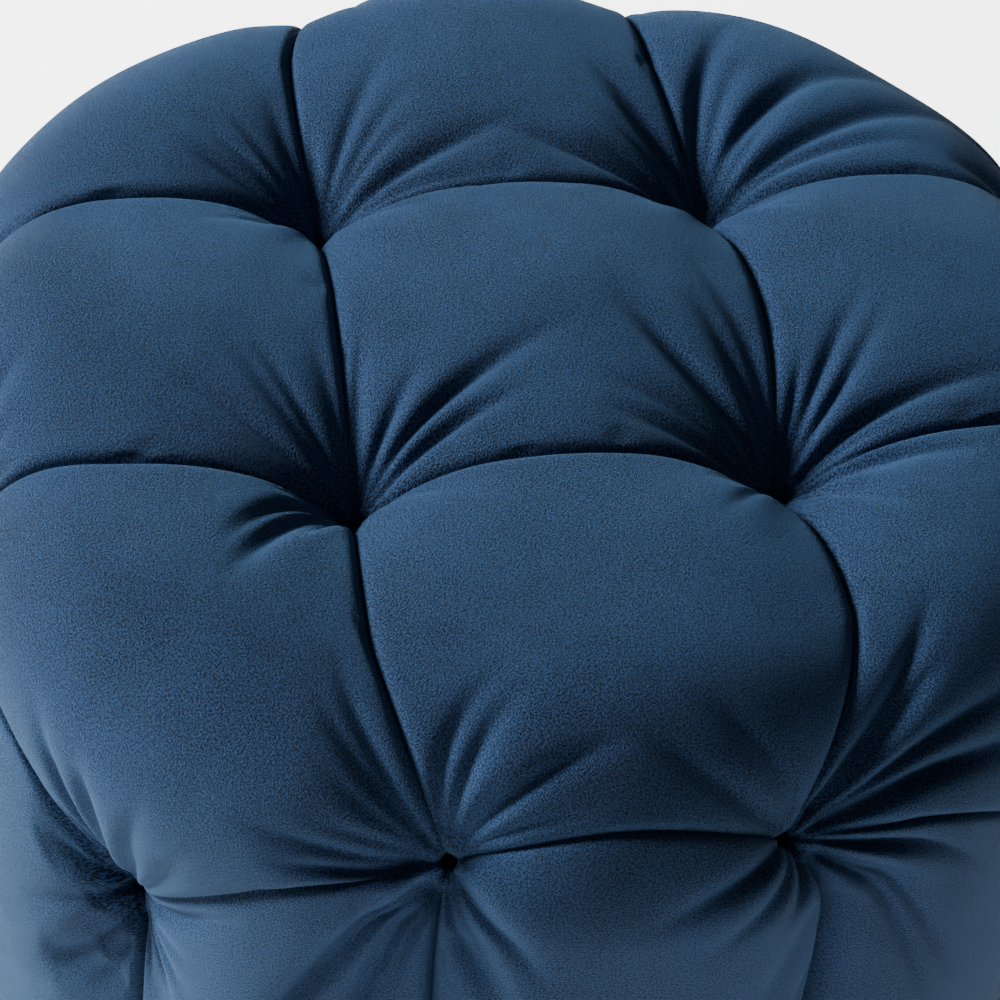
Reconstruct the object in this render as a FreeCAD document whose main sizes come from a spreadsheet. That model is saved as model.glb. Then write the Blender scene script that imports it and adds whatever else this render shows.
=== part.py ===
"""Round deep-tufted seat cushion: a drum-shaped upholstered pouf, as a parametric document.

The row frame has its origin on the floor under the centre, with +Z up and the tufting grid
square to X and Y. Every size comes from the sheet called dims, in millimetres and degrees.
"""

import FreeCAD
import Part
import math
import os

import Sketcher
from FreeCAD import Placement, Rotation, Vector

DIMENSIONS = (
    ("overallHeight", 380, "floor to the crown of the lobes"),
    ("tuftPitch", 140, "spacing of the four middle tufts"),
    ("topRadius", 134, "radius where the crown meets the shoulder"),
    ("crownDrop", 6, "fall of the crown from the centre to the shoulder"),
    ("crownRadius", 1500, "radius of the crown's arc"),
    ("shoulderRadius", 88, "radius of the shoulder's arc"),
    ("shoulderEase", 0.3, "added to the shoulder's arc so that it always spans its two ends"),
    ("shoulderHeight", 292, "height where the shoulder meets the side"),
    ("sideRadius", 222, "body radius at the top of the side"),
    ("sideArcRadius", 1400, "radius of the side's gentle bulge"),
    ("hemRadius", 218, "body radius at the bottom of the side"),
    ("hemHeight", 34, "height where the side turns under"),
    ("hemArcRadius", 28, "radius of the turn under the base"),
    ("footRadius", 200, "radius where the cover lies flat under the base"),
    ("coverThick", 2, "velvet with its backing"),
    ("wrapThick", 8, "polyester fibre wrap"),
    ("coverTurnIn", 160, "inner edge of the cover under the base"),
    ("baseRadius", 198, "plywood base ring"),
    ("baseHoleRadius", 110, "hand hole for tying the tufts"),
    ("baseLift", 10, "floor to the underside of the base ring"),
    ("plyThick", 15, "thickness of both plywood boards"),
    ("boardRadius", 160, "plywood top board, and outside of the hoop"),
    ("boardTop", 282, "height of the top board's upper face"),
    ("hoopThick", 3, "hardboard hoop"),
    ("glueGap", 0.7, "foam to hoop, where the staple crowns lie"),
    ("postWidth", 40, "post, along the hoop"),
    ("postDepth", 25, "post, towards the centre"),
    ("postOuter", 155.5, "centre line to a post's outer face"),
    ("postCount", 6, "posts round the drum"),
    ("postScrewSpread", 18, "spacing of the two screws in a post's end"),
    ("screwShank", 2, "radius of a frame screw"),
    ("screwHead", 4, "radius of a frame screw's head"),
    ("screwRim", 0.3, "straight rim of a frame screw's head"),
    ("screwHeadDeep", 2.6, "height of a frame screw's head"),
    ("screwLong", 40, "length of a frame screw"),
    ("recessSize", 2.2, "half the span of a screw's cross recess"),
    ("recessSlot", 0.45, "half the width of a screw's cross recess"),
    ("recessDeep", 1.6, "depth of a screw's cross recess"),
    ("pitBottom", 9.5, "radius of a tuft at its button"),
    ("pitSlope", 22, "half angle of a tuft's pit"),
    ("pitReach", 110, "length of the cone that clears a pit"),
    ("middleTuftHeight", 296, "button seat of the four middle tufts"),
    ("rimTuftRadius", 190, "button seat of the eight rim tufts, from the axis"),
    ("rimTuftHeight", 300, "button seat of the eight rim tufts"),
    ("rimTuftSlope", 54, "tilt of a rim tuft above level"),
    ("rimTuftTurn", 15, "a rim tuft's angle from the nearest axis"),
    ("cornerTuftRadius", 178, "button seat of the four corner tufts, from the axis"),
    ("cornerTuftHeight", 238, "button seat of the four corner tufts"),
    ("cornerTuftSlope", 25, "tilt of a corner tuft above level"),
    ("buttonRadius", 8, "outside of a covered button"),
    ("buttonRise", 5.4, "height of a covered button"),
    ("buttonFabric", 0.8, "cloth on a button"),
    ("buttonWall", 0.6, "metal shell of a button"),
    ("buttonBackThick", 1.2, "back plate of a button"),
    ("fitGap", 0.05, "clearance between a button's pieces"),
    ("twineRadius", 1, "tufting twine"),
    ("twineHole", 1.5, "hole for the twine through foam and boards"),
    ("knotRadius", 1.6, "knot at each end of a twine"),
    ("toggleRadius", 3, "toggle bar"),
    ("toggleLong", 26, "toggle bar"),
    ("dustThick", 0.6, "non-woven dust cover"),
    ("dustRadius", 194, "non-woven dust cover"),
    ("stapleWire", 0.6, "staple crown and leg thickness"),
    ("stapleWide", 1.2, "width of the staple wire"),
    ("stapleCrown", 10, "length of a staple's crown"),
    ("stapleLeg", 8, "length of a staple's legs"),
    ("coverStapleCircle", 168, "ring of staples through the cover"),
    ("coverStapleCount", 42, "staples through the cover"),
    ("dustStapleCircle", 189, "ring of staples through the dust cover"),
    ("dustStapleCount", 30, "staples through the dust cover"),
    ("dustStapleFirst", 9, "angle of the first staple through the dust cover"),
    ("hoopStapleRows", 3, "staples through the hoop into each post"),
    ("glideRadius", 12.5, "plastic glide"),
    ("glideCircle", 178, "ring of glides"),
    ("glideCount", 6, "glides"),
    ("glideFirst", 15, "angle of the first glide"),
    ("glideEdge", 2, "rounding of a glide's foot"),
    ("glideBore", 4.6, "counterbore for the screw head"),
    ("glideWeb", 3, "plastic left above the counterbore"),
    ("glideScrewShank", 1.75, "radius of a glide screw"),
    ("glideScrewHead", 3.6, "radius of a glide screw's head"),
    ("glideScrewHeadDeep", 2, "height of a glide screw's head"),
    ("glideScrewLong", 16, "length of a glide screw under its head"),
)

EXPORTED = []


def make_sheet(doc):
    """The driving dimensions, one alias to a row."""
    sheet = doc.addObject("Spreadsheet::Sheet", "dims")
    for row, (alias, value, note) in enumerate(DIMENSIONS, start=1):
        sheet.set(f"A{row}", alias)
        sheet.set(f"B{row}", str(value))
        sheet.set(f"C{row}", note)
        sheet.setAlias(f"B{row}", alias)
    doc.recompute()
    return sheet


def size(name):
    """The number behind one alias, for placements and counts."""
    return float(DOC.dims.get(name))


def worth(text):
    """The number that an expression stands for."""
    return float(DOC.dims.evalExpression(text))


def exported(label, made):
    """Marks an object as a sub-part: its label names its STEP file."""
    made.Label = label
    EXPORTED.append(made)
    return made


# Sketches and bodies.


def new_body(name):
    return DOC.addObject("PartDesign::Body", name)


def new_sketch(body, name, role, lift=None):
    """A sketch on one of the body's own origin planes, raised along its normal if asked."""
    sketch = body.newObject("Sketcher::SketchObject", name)
    plane = next(f for f in body.Origin.OriginFeatures if f.Role == role)
    sketch.AttachmentSupport = [(plane, "")]
    sketch.MapMode = "FlatFace"
    if lift:
        sketch.setExpression("AttachmentOffset.Base.z", lift)
    return sketch


def pin(sketch, geometry, end, across, up):
    """Holds one point of a sketch's geometry at two expressions from the origin."""
    for kind, axis, text in (("DistanceX", -2, across), ("DistanceY", -1, up)):
        if text == "0":
            on_axis = Sketcher.Constraint("PointOnObject", geometry, end, axis)
            sketch.addConstraint(on_axis)
            continue
        held = Sketcher.Constraint(kind, -1, 1, geometry, end, worth(text))
        number = sketch.addConstraint(held)
        sketch.setExpression(f"Constraints[{number}]", text)


def arc_between(start, finish, radius, side):
    """The arc from start to finish that bulges to the right of the way it goes, or left for side -1."""
    chord = finish - start
    half = chord.Length / 2
    sagitta = radius - math.sqrt(radius * radius - half * half)
    right = Vector(chord.y, -chord.x, 0).normalize()
    return Part.Arc(start, (start + finish) / 2 + right * sagitta * side, finish)


def closed_outline(sketch, corners):
    """Draws a closed outline. A corner is (across, up), with the radius of the arc leaving it, if any, and
    -1 after the radius if that arc bulges inwards."""
    for here, after in zip(corners, corners[1:] + corners[:1]):
        start = Vector(worth(here[0]), worth(here[1]), 0)
        finish = Vector(worth(after[0]), worth(after[1]), 0)
        if len(here) == 2:
            edge = sketch.addGeometry(Part.LineSegment(start, finish), False)
            first, last = 1, 2
        else:
            side = here[3] if len(here) > 3 else 1
            edge = sketch.addGeometry(arc_between(start, finish, worth(here[2]), side), False)
            swapped = sketch.getPoint(edge, 1).distanceToPoint(start) > 1e-6
            first, last = (2, 1) if swapped else (1, 2)
            number = sketch.addConstraint(Sketcher.Constraint("Radius", edge, worth(here[2])))
            sketch.setExpression(f"Constraints[{number}]", here[2])
        pin(sketch, edge, first, here[0], here[1])
        pin(sketch, edge, last, after[0], after[1])


def circle(sketch, radius, across="0", up="0"):
    """A circle of bound radius about a bound centre."""
    centre = Vector(worth(across), worth(up), 0)
    drawn = sketch.addGeometry(Part.Circle(centre, Vector(0, 0, 1), worth(radius)), False)
    number = sketch.addConstraint(Sketcher.Constraint("Radius", drawn, worth(radius)))
    sketch.setExpression(f"Constraints[{number}]", radius)
    pin(sketch, drawn, 3, across, up)


def revolved(name, corners):
    """A body turned about Z from a closed outline in the plane of X and Z."""
    body = new_body(name)
    sketch = new_sketch(body, name + "_outline", "XZ_Plane")
    closed_outline(sketch, corners)
    turned = body.newObject("PartDesign::Revolution", name + "_turn")
    turned.Profile = sketch
    turned.ReferenceAxis = (sketch, ["V_Axis"])
    turned.Angle = 360
    return body


def padded(name, draw, bottom, thickness):
    """A body padded up from a level sketch that draw() fills."""
    body = new_body(name)
    sketch = new_sketch(body, name + "_plan", "XY_Plane", bottom)
    draw(sketch)
    pad = body.newObject("PartDesign::Pad", name + "_pad")
    pad.Profile = sketch
    pad.setExpression("Length", thickness)
    return body


def ring_plan(outer, inner=None):
    """A drawing function for a disc, or a ring if it has an inner radius."""

    def draw(sketch):
        circle(sketch, outer)
        if inner:
            circle(sketch, inner)

    return draw


# Joining objects of the document.


def cut(name, base, tool):
    made = DOC.addObject("Part::Cut", name)
    made.Base = base
    made.Tool = tool
    return made


def common(name, base, tool):
    made = DOC.addObject("Part::Common", name)
    made.Base = base
    made.Tool = tool
    return made


def group(name, members):
    made = DOC.addObject("Part::Compound", name)
    made.Links = members
    return made


def copies(name, master, places):
    """Separate copies of one small piece, each at its own place."""
    DOC.recompute()
    made = DOC.addObject("Part::Feature", name)
    made.Shape = Part.makeCompound([master.Shape.transformed(p.toMatrix(), True) for p in places])
    return made


def cylinder(name, radius, height, bottom="0"):
    made = DOC.addObject("Part::Cylinder", name)
    made.setExpression("Radius", radius)
    made.setExpression("Height", height)
    made.setExpression("Placement.Base.z", bottom)
    return made


# Where the tufts are.


def tuft_places():
    """Each tuft's placement: its origin at the button's seat, its own Z out of the pit."""
    half = size("tuftPitch") / 2
    places = []
    for quarter in range(4):
        turn = Rotation(Vector(0, 0, 1), 90 * quarter)
        middle = turn.multVec(Vector(half, half, size("middleTuftHeight")))
        places.append(Placement(middle, turn))
        for side in (-1, 1):
            azimuth = 90 * quarter + side * size("rimTuftTurn")
            places.append(tilted_tuft(azimuth, size("rimTuftRadius"),
                                      size("rimTuftHeight"), size("rimTuftSlope")))
        places.append(tilted_tuft(90 * quarter + 45, size("cornerTuftRadius"),
                                  size("cornerTuftHeight"), size("cornerTuftSlope")))
    return places


def tilted_tuft(azimuth, radius, height, slope):
    """A tuft whose pit leans outwards, at an azimuth and with a slope above level in degrees."""
    turn = Rotation(Vector(0, 0, 1), azimuth)
    lean = Rotation(Vector(0, 1, 0), 90 - slope)
    seat = turn.multVec(Vector(radius, 0, height))
    return Placement(seat, turn.multiply(lean))


def is_middle(place):
    """A middle tuft's pit goes straight up; the others lean outwards."""
    return place.Rotation.multVec(Vector(0, 0, 1)).z > 0.999


def anchor_depth(place):
    """Distance from a button's seat, along the twine, to the middle of its toggle."""
    if is_middle(place):
        return place.Base.z - (size("boardTop") - size("plyThick")) + size("toggleRadius") + size("fitGap")
    outwards = place.Rotation.multVec(Vector(0, 0, 1))
    level = math.hypot(outwards.x, outwards.y)
    inside = size("boardRadius") - size("hoopThick")
    chord = math.sqrt(inside ** 2 - (size("toggleLong") / 2) ** 2)
    bar = chord - size("toggleRadius") - size("fitGap")
    return (math.hypot(place.Base.x, place.Base.y) - bar) / level


# The upholstery: cover, fibre wrap and foam, each with its sixteen pits.


def body_form(name, inset, bottom, foot):
    """The whole outer form, moved in by an inset, as one solid with no pits."""
    return revolved(name, [
        ("0", bottom),
        (foot, bottom, "dims.hemArcRadius"),
        (f"dims.hemRadius - {inset}", "dims.hemHeight", "dims.sideArcRadius"),
        (f"dims.sideRadius - {inset}", "dims.shoulderHeight",
         f"dims.shoulderRadius - {inset} + dims.shoulderEase"),
        ("dims.topRadius", f"dims.overallHeight - dims.crownDrop - {inset}", "dims.crownRadius"),
        ("0", f"dims.overallHeight - {inset}"),
    ])


def pit_tools(name, inset):
    """Cones that clear the sixteen pits, grown by an inset, with a fine hole for each twine."""
    slope = "dims.pitSlope * 1deg"
    members = []
    for number, place in enumerate(tuft_places()):
        cone = DOC.addObject("Part::Cone", f"{name}_cone_{number}")
        narrow = f"dims.pitBottom + {inset} * (1 / cos({slope}) - tan({slope}))"
        cone.setExpression("Radius1", narrow)
        cone.setExpression("Radius2", f"{narrow} + (dims.pitReach + {inset}) * tan({slope})")
        cone.setExpression("Height", f"dims.pitReach + {inset}")
        cone.Placement = place.multiply(Placement(Vector(0, 0, -worth(inset)), Rotation()))
        members.append(cone)
        members.append(twine_channel(f"{name}_channel_{number}", place))
    return group(name, members)


def twine_channel(name, place):
    """The hole for one twine, from its button's seat to its toggle."""
    channel = DOC.addObject("Part::Cylinder", name)
    channel.setExpression("Radius", "dims.twineHole")
    deep = anchor_depth(place)
    channel.Height = deep
    channel.Placement = place.multiply(Placement(Vector(0, 0, -deep), Rotation()))
    return channel


def upholstery(fixings):
    """Cover, fibre wrap, top pad and side band, from the outside in."""
    cover_in = "dims.coverThick"
    wrap_in = "(dims.coverThick + dims.wrapThick)"
    underside = "dims.baseLift - dims.coverThick"
    outer = cut("outer_form", body_form("outer_body", "0", underside, "dims.footRadius"),
                pit_tools("outer_pits", "0"))
    lining = cut("lining_form", body_form("lining_body", cover_in, "dims.baseLift", "dims.footRadius"),
                 pit_tools("lining_pits", cover_in))
    filling = cut("filling_form", body_form("filling_body", wrap_in, "dims.baseLift", "dims.baseRadius"),
                  pit_tools("filling_pits", wrap_in))

    shell = cut("cover_shell", outer, lining)
    mouth = cylinder("cover_mouth", "dims.coverTurnIn", "dims.baseLift")
    exported("velvet_cover", cut("cover_pierced", cut("cover_open", shell, mouth), fixings))
    exported("fibre_wrap", cut("wrap_shell", lining, filling))

    beyond = "dims.sideRadius + dims.sideRadius"
    above = cylinder("above_board", beyond, "dims.overallHeight", "dims.boardTop")
    exported("top_foam_pad", common("pad_form", filling, above))
    below = cylinder("below_board", beyond,
                     "dims.boardTop - dims.baseLift - dims.plyThick", "dims.baseLift + dims.plyThick")
    drum = cylinder("drum_room", "dims.boardRadius + dims.glueGap", "dims.overallHeight")
    exported("side_foam_band", cut("band_form", common("band_whole", filling, below), drum))


# The frame inside.


def round_places(count, radius, height, first=0.0):
    """Level placements round a circle, each turned so that its own X points outwards."""
    places = []
    for number in range(int(count)):
        turn = Rotation(Vector(0, 0, 1), first + 360.0 * number / count)
        places.append(Placement(turn.multVec(Vector(radius, 0, height)), turn))
    return places


def screw_bores(name, master, places):
    """Tools for screw holes: the screw before its recess is cut, so that no plug is left in one."""
    blank = DOC.getObject(master.Name + "_turn")
    return copies(name, blank, places)


def post_screw_places(height, flipped):
    """Two screws in each post's end; flipped ones are driven upwards from below."""
    middle = size("postOuter") - size("postDepth") / 2
    spread = size("postScrewSpread") / 2
    turned = Rotation(Vector(1, 0, 0), 180) if flipped else Rotation()
    return [
        post.multiply(Placement(Vector(middle, side * spread, height), turned))
        for post in round_places(size("postCount"), 0, 0)
        for side in (-1, 1)
    ]


def frame(fixings):
    """The two boards, the posts between them, the screws that hold them and the hoop round the posts."""
    master = frame_screw()
    downwards = post_screw_places(size("boardTop"), False)
    upwards = post_screw_places(size("baseLift"), True)
    exported("top_board_screws", copies("screws_in_board", master, downwards))
    exported("base_board_screws", copies("screws_in_base", master, upwards))
    screws_down = screw_bores("bores_from_above", master, downwards)
    screws_up = screw_bores("bores_from_below", master, upwards)

    board = padded("board_disc", ring_plan("dims.boardRadius"),
                   "dims.boardTop - dims.plyThick", "dims.plyThick")
    middle = [p for p in tuft_places() if is_middle(p)]
    outer = [p for p in tuft_places() if not is_middle(p)]
    board_holes = [twine_channel(f"board_channel_{n}", p) for n, p in enumerate(middle)]
    exported("top_board", cut("board_cut", board, group("board_tools", board_holes + [screws_down])))

    ring = padded("base_ring", ring_plan("dims.baseRadius", "dims.baseHoleRadius"),
                  "dims.baseLift", "dims.plyThick")
    exported("base_board", cut("base_cut", ring, group("base_tools", [fixings, screws_up])))

    post = padded("post_blank", post_plan, "dims.baseLift + dims.plyThick",
                  "dims.boardTop - 2 * dims.plyThick - dims.baseLift")
    posts = copies("post_ring", post, round_places(size("postCount"), 0, 0))
    hoop_staples = copies("staples_in_hoop", staple("hoop_staple"), hoop_staple_places())
    tools = group("post_tools", [screws_down, screws_up, hoop_staples])
    exported("frame_posts", cut("posts_cut", posts, tools))

    wall = padded("hoop_wall", ring_plan("dims.boardRadius", "dims.boardRadius - dims.hoopThick"),
                  "dims.baseLift + dims.plyThick", "dims.boardTop - 2 * dims.plyThick - dims.baseLift")
    hoop_holes = [twine_channel(f"hoop_channel_{n}", p) for n, p in enumerate(outer)]
    exported("side_hoop", cut("hoop_cut", wall, group("hoop_tools", hoop_holes + [hoop_staples])))
    exported("hoop_staples", hoop_staples)


def post_plan(sketch):
    """One post's section, against the hoop on the X axis."""
    inner, outer, half = "dims.postOuter - dims.postDepth", "dims.postOuter", "dims.postWidth / 2"
    closed_outline(sketch, [(inner, f"-{half}"), (outer, f"-{half}"), (outer, half), (inner, half)])


def hoop_staple_places():
    """Staples through the hoop into each post, crown upright on the outside."""
    low = size("baseLift") + size("plyThick")
    room = size("boardTop") - size("plyThick") - low
    rows = int(size("hoopStapleRows"))
    outside = Placement(Vector(size("boardRadius"), 0, 0), Rotation(Vector(0, 1, 0), -90))
    return [
        post.multiply(Placement(Vector(0, 0, low + room * (row + 0.5) / rows), Rotation())).multiply(outside)
        for post in round_places(size("postCount"), 0, 0)
        for row in range(rows)
    ]


# Screws, staples and glides.


def screw(name, corners, top):
    """A turned screw with a cross recess cut into its head, whose face is at top."""
    body = revolved(name, corners)
    sketch = new_sketch(body, name + "_cross", "XY_Plane", top)
    wide, thin = "dims.recessSize", "dims.recessSlot"
    closed_outline(sketch, [
        (thin, f"-{wide}"), (thin, f"-{thin}"), (wide, f"-{thin}"), (wide, thin),
        (thin, thin), (thin, wide), (f"-{thin}", wide), (f"-{thin}", thin),
        (f"-{wide}", thin), (f"-{wide}", f"-{thin}"), (f"-{thin}", f"-{thin}"), (f"-{thin}", f"-{wide}"),
    ])
    pocket = body.newObject("PartDesign::Pocket", name + "_recess")
    pocket.Profile = sketch
    pocket.setExpression("Length", "dims.recessDeep")
    return body


def frame_screw():
    """A countersunk wood screw: head face at Z = 0, point down."""
    return screw("frame_screw", [
        ("0", "-dims.screwLong"),
        ("dims.screwShank", "-dims.screwLong + 2 * dims.screwShank"),
        ("dims.screwShank", "-dims.screwHeadDeep"),
        ("dims.screwHead", "-dims.screwRim"),
        ("dims.screwHead", "0"),
        ("0", "0"),
    ], "0")


def glide_screw():
    """A pan-head screw: underside of the head at Z = 0, point down."""
    head = "dims.glideScrewHead"
    return screw("glide_screw", [
        ("0", "-dims.glideScrewLong"),
        ("dims.glideScrewShank", "-dims.glideScrewLong + 2 * dims.glideScrewShank"),
        ("dims.glideScrewShank", "0"),
        (head, "0"),
        (head, "dims.glideScrewHeadDeep / 2", "dims.glideScrewHeadDeep"),
        (f"{head} - dims.glideScrewHeadDeep / 2", "dims.glideScrewHeadDeep"),
        ("0", "dims.glideScrewHeadDeep"),
    ], "dims.glideScrewHeadDeep")


def staple(name):
    """A wire staple: crown along Y under Z = 0, legs pointing up."""
    body = new_body(name)
    sketch = new_sketch(body, name + "_wire", "YZ_Plane", "-dims.stapleWide / 2")
    half, wire, leg = "dims.stapleCrown / 2", "dims.stapleWire", "dims.stapleLeg"
    closed_outline(sketch, [
        (f"-{half}", f"-{wire}"), (half, f"-{wire}"), (half, leg), (f"{half} - {wire}", leg),
        (f"{half} - {wire}", "0"), (f"-{half} + {wire}", "0"), (f"-{half} + {wire}", leg), (f"-{half}", leg),
    ])
    pad = body.newObject("PartDesign::Pad", name + "_pad")
    pad.Profile = sketch
    pad.setExpression("Length", "dims.stapleWide")
    return body


def glide():
    """A round plastic glide standing on the floor, counterbored from below."""
    tall = "(dims.baseLift - dims.coverThick - dims.stapleWire - dims.dustThick)"
    web = f"{tall} - dims.glideWeb"
    return revolved("glide_blank", [
        ("dims.glideBore", "0"),
        ("dims.glideRadius - dims.glideEdge", "0", "dims.glideEdge"),
        ("dims.glideRadius", "dims.glideEdge"),
        ("dims.glideRadius", tall),
        ("dims.glideScrewShank + dims.fitGap", tall),
        ("dims.glideScrewShank + dims.fitGap", web),
        ("dims.glideBore", web),
    ])


def fixings_under_base():
    """Everything driven into the base from below. Returns the tool that makes its holes."""
    cover_face = size("baseLift") - size("coverThick")
    dust_top = cover_face - size("stapleWire")
    dust_bottom = dust_top - size("dustThick")
    head_seat = dust_bottom - size("glideWeb")
    cover_staples = copies("staples_in_cover", staple("cover_staple"), round_places(
        size("coverStapleCount"), size("coverStapleCircle"), cover_face))
    dust_staples = copies("staples_in_dust", staple("dust_staple"), round_places(
        size("dustStapleCount"), size("dustStapleCircle"), dust_bottom, size("dustStapleFirst")))
    upwards = Placement(Vector(), Rotation(Vector(1, 0, 0), 180))
    glide_spots = round_places(size("glideCount"), size("glideCircle"), 0, size("glideFirst"))
    screw_spots = [p.multiply(Placement(Vector(0, 0, head_seat), Rotation())).multiply(upwards)
                   for p in glide_spots]
    screw_master = glide_screw()
    screws = copies("screws_in_glides", screw_master, screw_spots)
    exported("cover_staples", cover_staples)
    exported("dust_cover_staples", dust_staples)
    exported("glide_screws", screws)
    exported("glides", copies("glide_ring", glide(), glide_spots))
    sheet = padded("dust_sheet", ring_plan("dims.dustRadius"),
                   "dims.baseLift - dims.coverThick - dims.stapleWire - dims.dustThick", "dims.dustThick")
    exported("dust_cover", cut("dust_pierced", sheet, group("dust_tools", [dust_staples, screws])))
    bores = screw_bores("glide_screw_bores", screw_master, screw_spots)
    return group("fixings", [cover_staples, dust_staples, bores])


# Buttons, twine and toggles.


def dome(name, inset, wall):
    """A button's domed shell: a spherical crown on a short straight side, with an even wall."""
    skirt = "dims.buttonBackThick"
    outer, rise = f"(dims.buttonRadius - {inset})", f"(dims.buttonRise - {inset})"
    inner, roof = f"({outer} - {wall})", f"({rise} - {wall})"
    return revolved(name, [
        (inner, "0"),
        (outer, "0"),
        (outer, skirt, crown_radius(outer, f"({rise} - {skirt})")),
        ("0", rise),
        ("0", roof, crown_radius(inner, f"({roof} - {skirt})"), -1),
        (inner, skirt),
    ])


def crown_radius(half, rise):
    """The radius of a spherical crown of a given half width and rise."""
    return f"({half} ^ 2 + {rise} ^ 2) / (2 * {rise})"


def button_back():
    """A button's back plate, drilled for the twine."""
    radius = "dims.buttonRadius - dims.buttonFabric - dims.buttonWall - 2 * dims.fitGap"
    plan = ring_plan(radius, "dims.twineRadius + dims.fitGap")
    return padded("button_plate", plan, "0", "dims.buttonBackThick")


def tufting():
    """The sixteen covered buttons with their twines and toggles."""
    places = tuft_places()
    fabric = dome("button_cloth", "0", "dims.buttonFabric")
    shell = dome("button_metal", "(dims.buttonFabric + dims.fitGap)", "dims.buttonWall")
    exported("button_covers", copies("cloth_caps", fabric, places))
    exported("button_shells", copies("metal_caps", shell, places))
    exported("button_backs", copies("back_plates", button_back(), places))
    exported("tufting_twine", at_each_tuft("twine_lines", twine_shape, places))
    exported("twine_toggles", at_each_tuft("toggle_bars", toggle_shape, places))


def at_each_tuft(name, shape_of, places):
    """One feature holding a solid for each tuft, whose shape depends on how deep its twine runs."""
    made = DOC.addObject("Part::Feature", name)
    made.Shape = Part.makeCompound([
        shape_of(anchor_depth(place)).transformed(place.toMatrix(), True) for place in places
    ])
    return made


def twine_shape(deep):
    """One twine, with a knot on the button's back plate and a knot under its toggle."""
    knot = size("knotRadius")
    plate = size("buttonBackThick")
    upper = plate + knot / 2
    lower = -deep - size("toggleRadius") - knot
    line = Part.makeCylinder(size("twineRadius"), upper - lower, Vector(0, 0, lower))
    ball = Part.makeSphere(knot, Vector(0, 0, upper))
    corner = Vector(-knot, -knot, plate + size("fitGap") - knot)
    below = Part.makeBox(2 * knot, 2 * knot, knot, corner)
    return line.fuse([ball.cut(below), Part.makeSphere(knot, Vector(0, 0, lower))]).removeSplitter()


def toggle_shape(deep):
    """One toggle bar across its twine, with its hole, before it is placed at its tuft."""
    radius, length = size("toggleRadius"), size("toggleLong")
    bar = Part.makeCylinder(radius, length, Vector(0, -length / 2, -deep), Vector(0, 1, 0))
    start = Vector(0, 0, -deep - 2 * radius)
    hole = Part.makeCylinder(size("twineRadius") + size("fitGap"), 4 * radius, start)
    return bar.cut(hole)


def check(doc):
    """Stops if any object of the document failed or any sub-part has no valid solid."""
    for made in doc.Objects:
        if {"Invalid", "Error"} & set(made.State):
            raise RuntimeError(f"{made.Name} is {made.State}")
    for made in EXPORTED:
        if made.Shape.isNull() or not made.Shape.isValid() or not made.Shape.Solids:
            raise RuntimeError(f"{made.Label} has no valid solid")


def write(folder="parts"):
    """One STEP file to a sub-part."""
    os.makedirs(folder, exist_ok=True)
    for made in EXPORTED:
        made.Shape.exportStep(os.path.join(folder, made.Label + ".step"))
        box = made.Shape.BoundBox
        print(f"{made.Label}: {len(made.Shape.Solids)} solids, {made.Shape.Volume / 1000:.2f} cm3, "
              f"{box.XLength:.1f} x {box.YLength:.1f} x {box.ZLength:.1f} mm, from z {box.ZMin:.1f}")


DOC = FreeCAD.newDocument("tufted_cushion")
make_sheet(DOC)
UNDER_BASE = fixings_under_base()
upholstery(UNDER_BASE)
frame(UNDER_BASE)
tufting()
DOC.recompute()
check(DOC)
write()
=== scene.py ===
"""Looks of the round deep-tufted seat cushion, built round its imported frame.

Lengths are metres in the frame's own axes: +Z up, the floor at Z = 0 and the four middle tufts square
to X and Y. The velvet is a patchwork of lobes. Each lobe is a grid of points spanned between four
pleats, and each pleat runs from tuft to tuft, or from a tuft down to the hem.
"""

import logging
import math
from dataclasses import dataclass, field
from enum import Enum
from typing import Callable

import bmesh
import bpy
import numpy as np
from mathutils import Matrix, Vector
from numpy.typing import NDArray


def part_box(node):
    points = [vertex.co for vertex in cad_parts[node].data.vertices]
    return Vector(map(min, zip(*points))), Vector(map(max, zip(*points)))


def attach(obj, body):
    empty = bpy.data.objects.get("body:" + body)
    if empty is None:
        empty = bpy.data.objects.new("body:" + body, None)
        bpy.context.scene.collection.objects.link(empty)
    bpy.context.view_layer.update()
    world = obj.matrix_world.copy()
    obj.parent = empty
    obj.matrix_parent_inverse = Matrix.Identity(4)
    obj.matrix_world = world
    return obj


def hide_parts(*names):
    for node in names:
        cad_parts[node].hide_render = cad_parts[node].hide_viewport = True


Array = NDArray[np.float64]
Indices = NDArray[np.int64]
Cell = tuple[int, int]
LOG = logging.getLogger("cushion")

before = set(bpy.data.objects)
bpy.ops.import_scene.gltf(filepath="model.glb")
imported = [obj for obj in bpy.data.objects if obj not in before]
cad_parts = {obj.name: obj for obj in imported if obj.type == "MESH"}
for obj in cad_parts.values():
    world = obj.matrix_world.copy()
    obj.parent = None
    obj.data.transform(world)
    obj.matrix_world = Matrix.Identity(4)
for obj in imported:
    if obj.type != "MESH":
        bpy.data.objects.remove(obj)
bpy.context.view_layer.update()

PITCH = 0.140
"""Between two middle tufts."""
HEM_RADIUS = 0.218
"""From the axis to the cloth over the hem."""
"""Across the disc that the dust cover is cut as."""
VALLEY_ROUND = 0.0007
"""How far the bottom of the sharpest valley is blunted."""


class TuftKind(Enum):
    """The three families of tufts."""

    MIDDLE = "middle"
    RIM = "rim"
    CORNER = "corner"


class Panel(Enum):
    """What a lobe covers: the top of the drum or its side."""

    TOP = "top"
    SIDE = "side"


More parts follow.
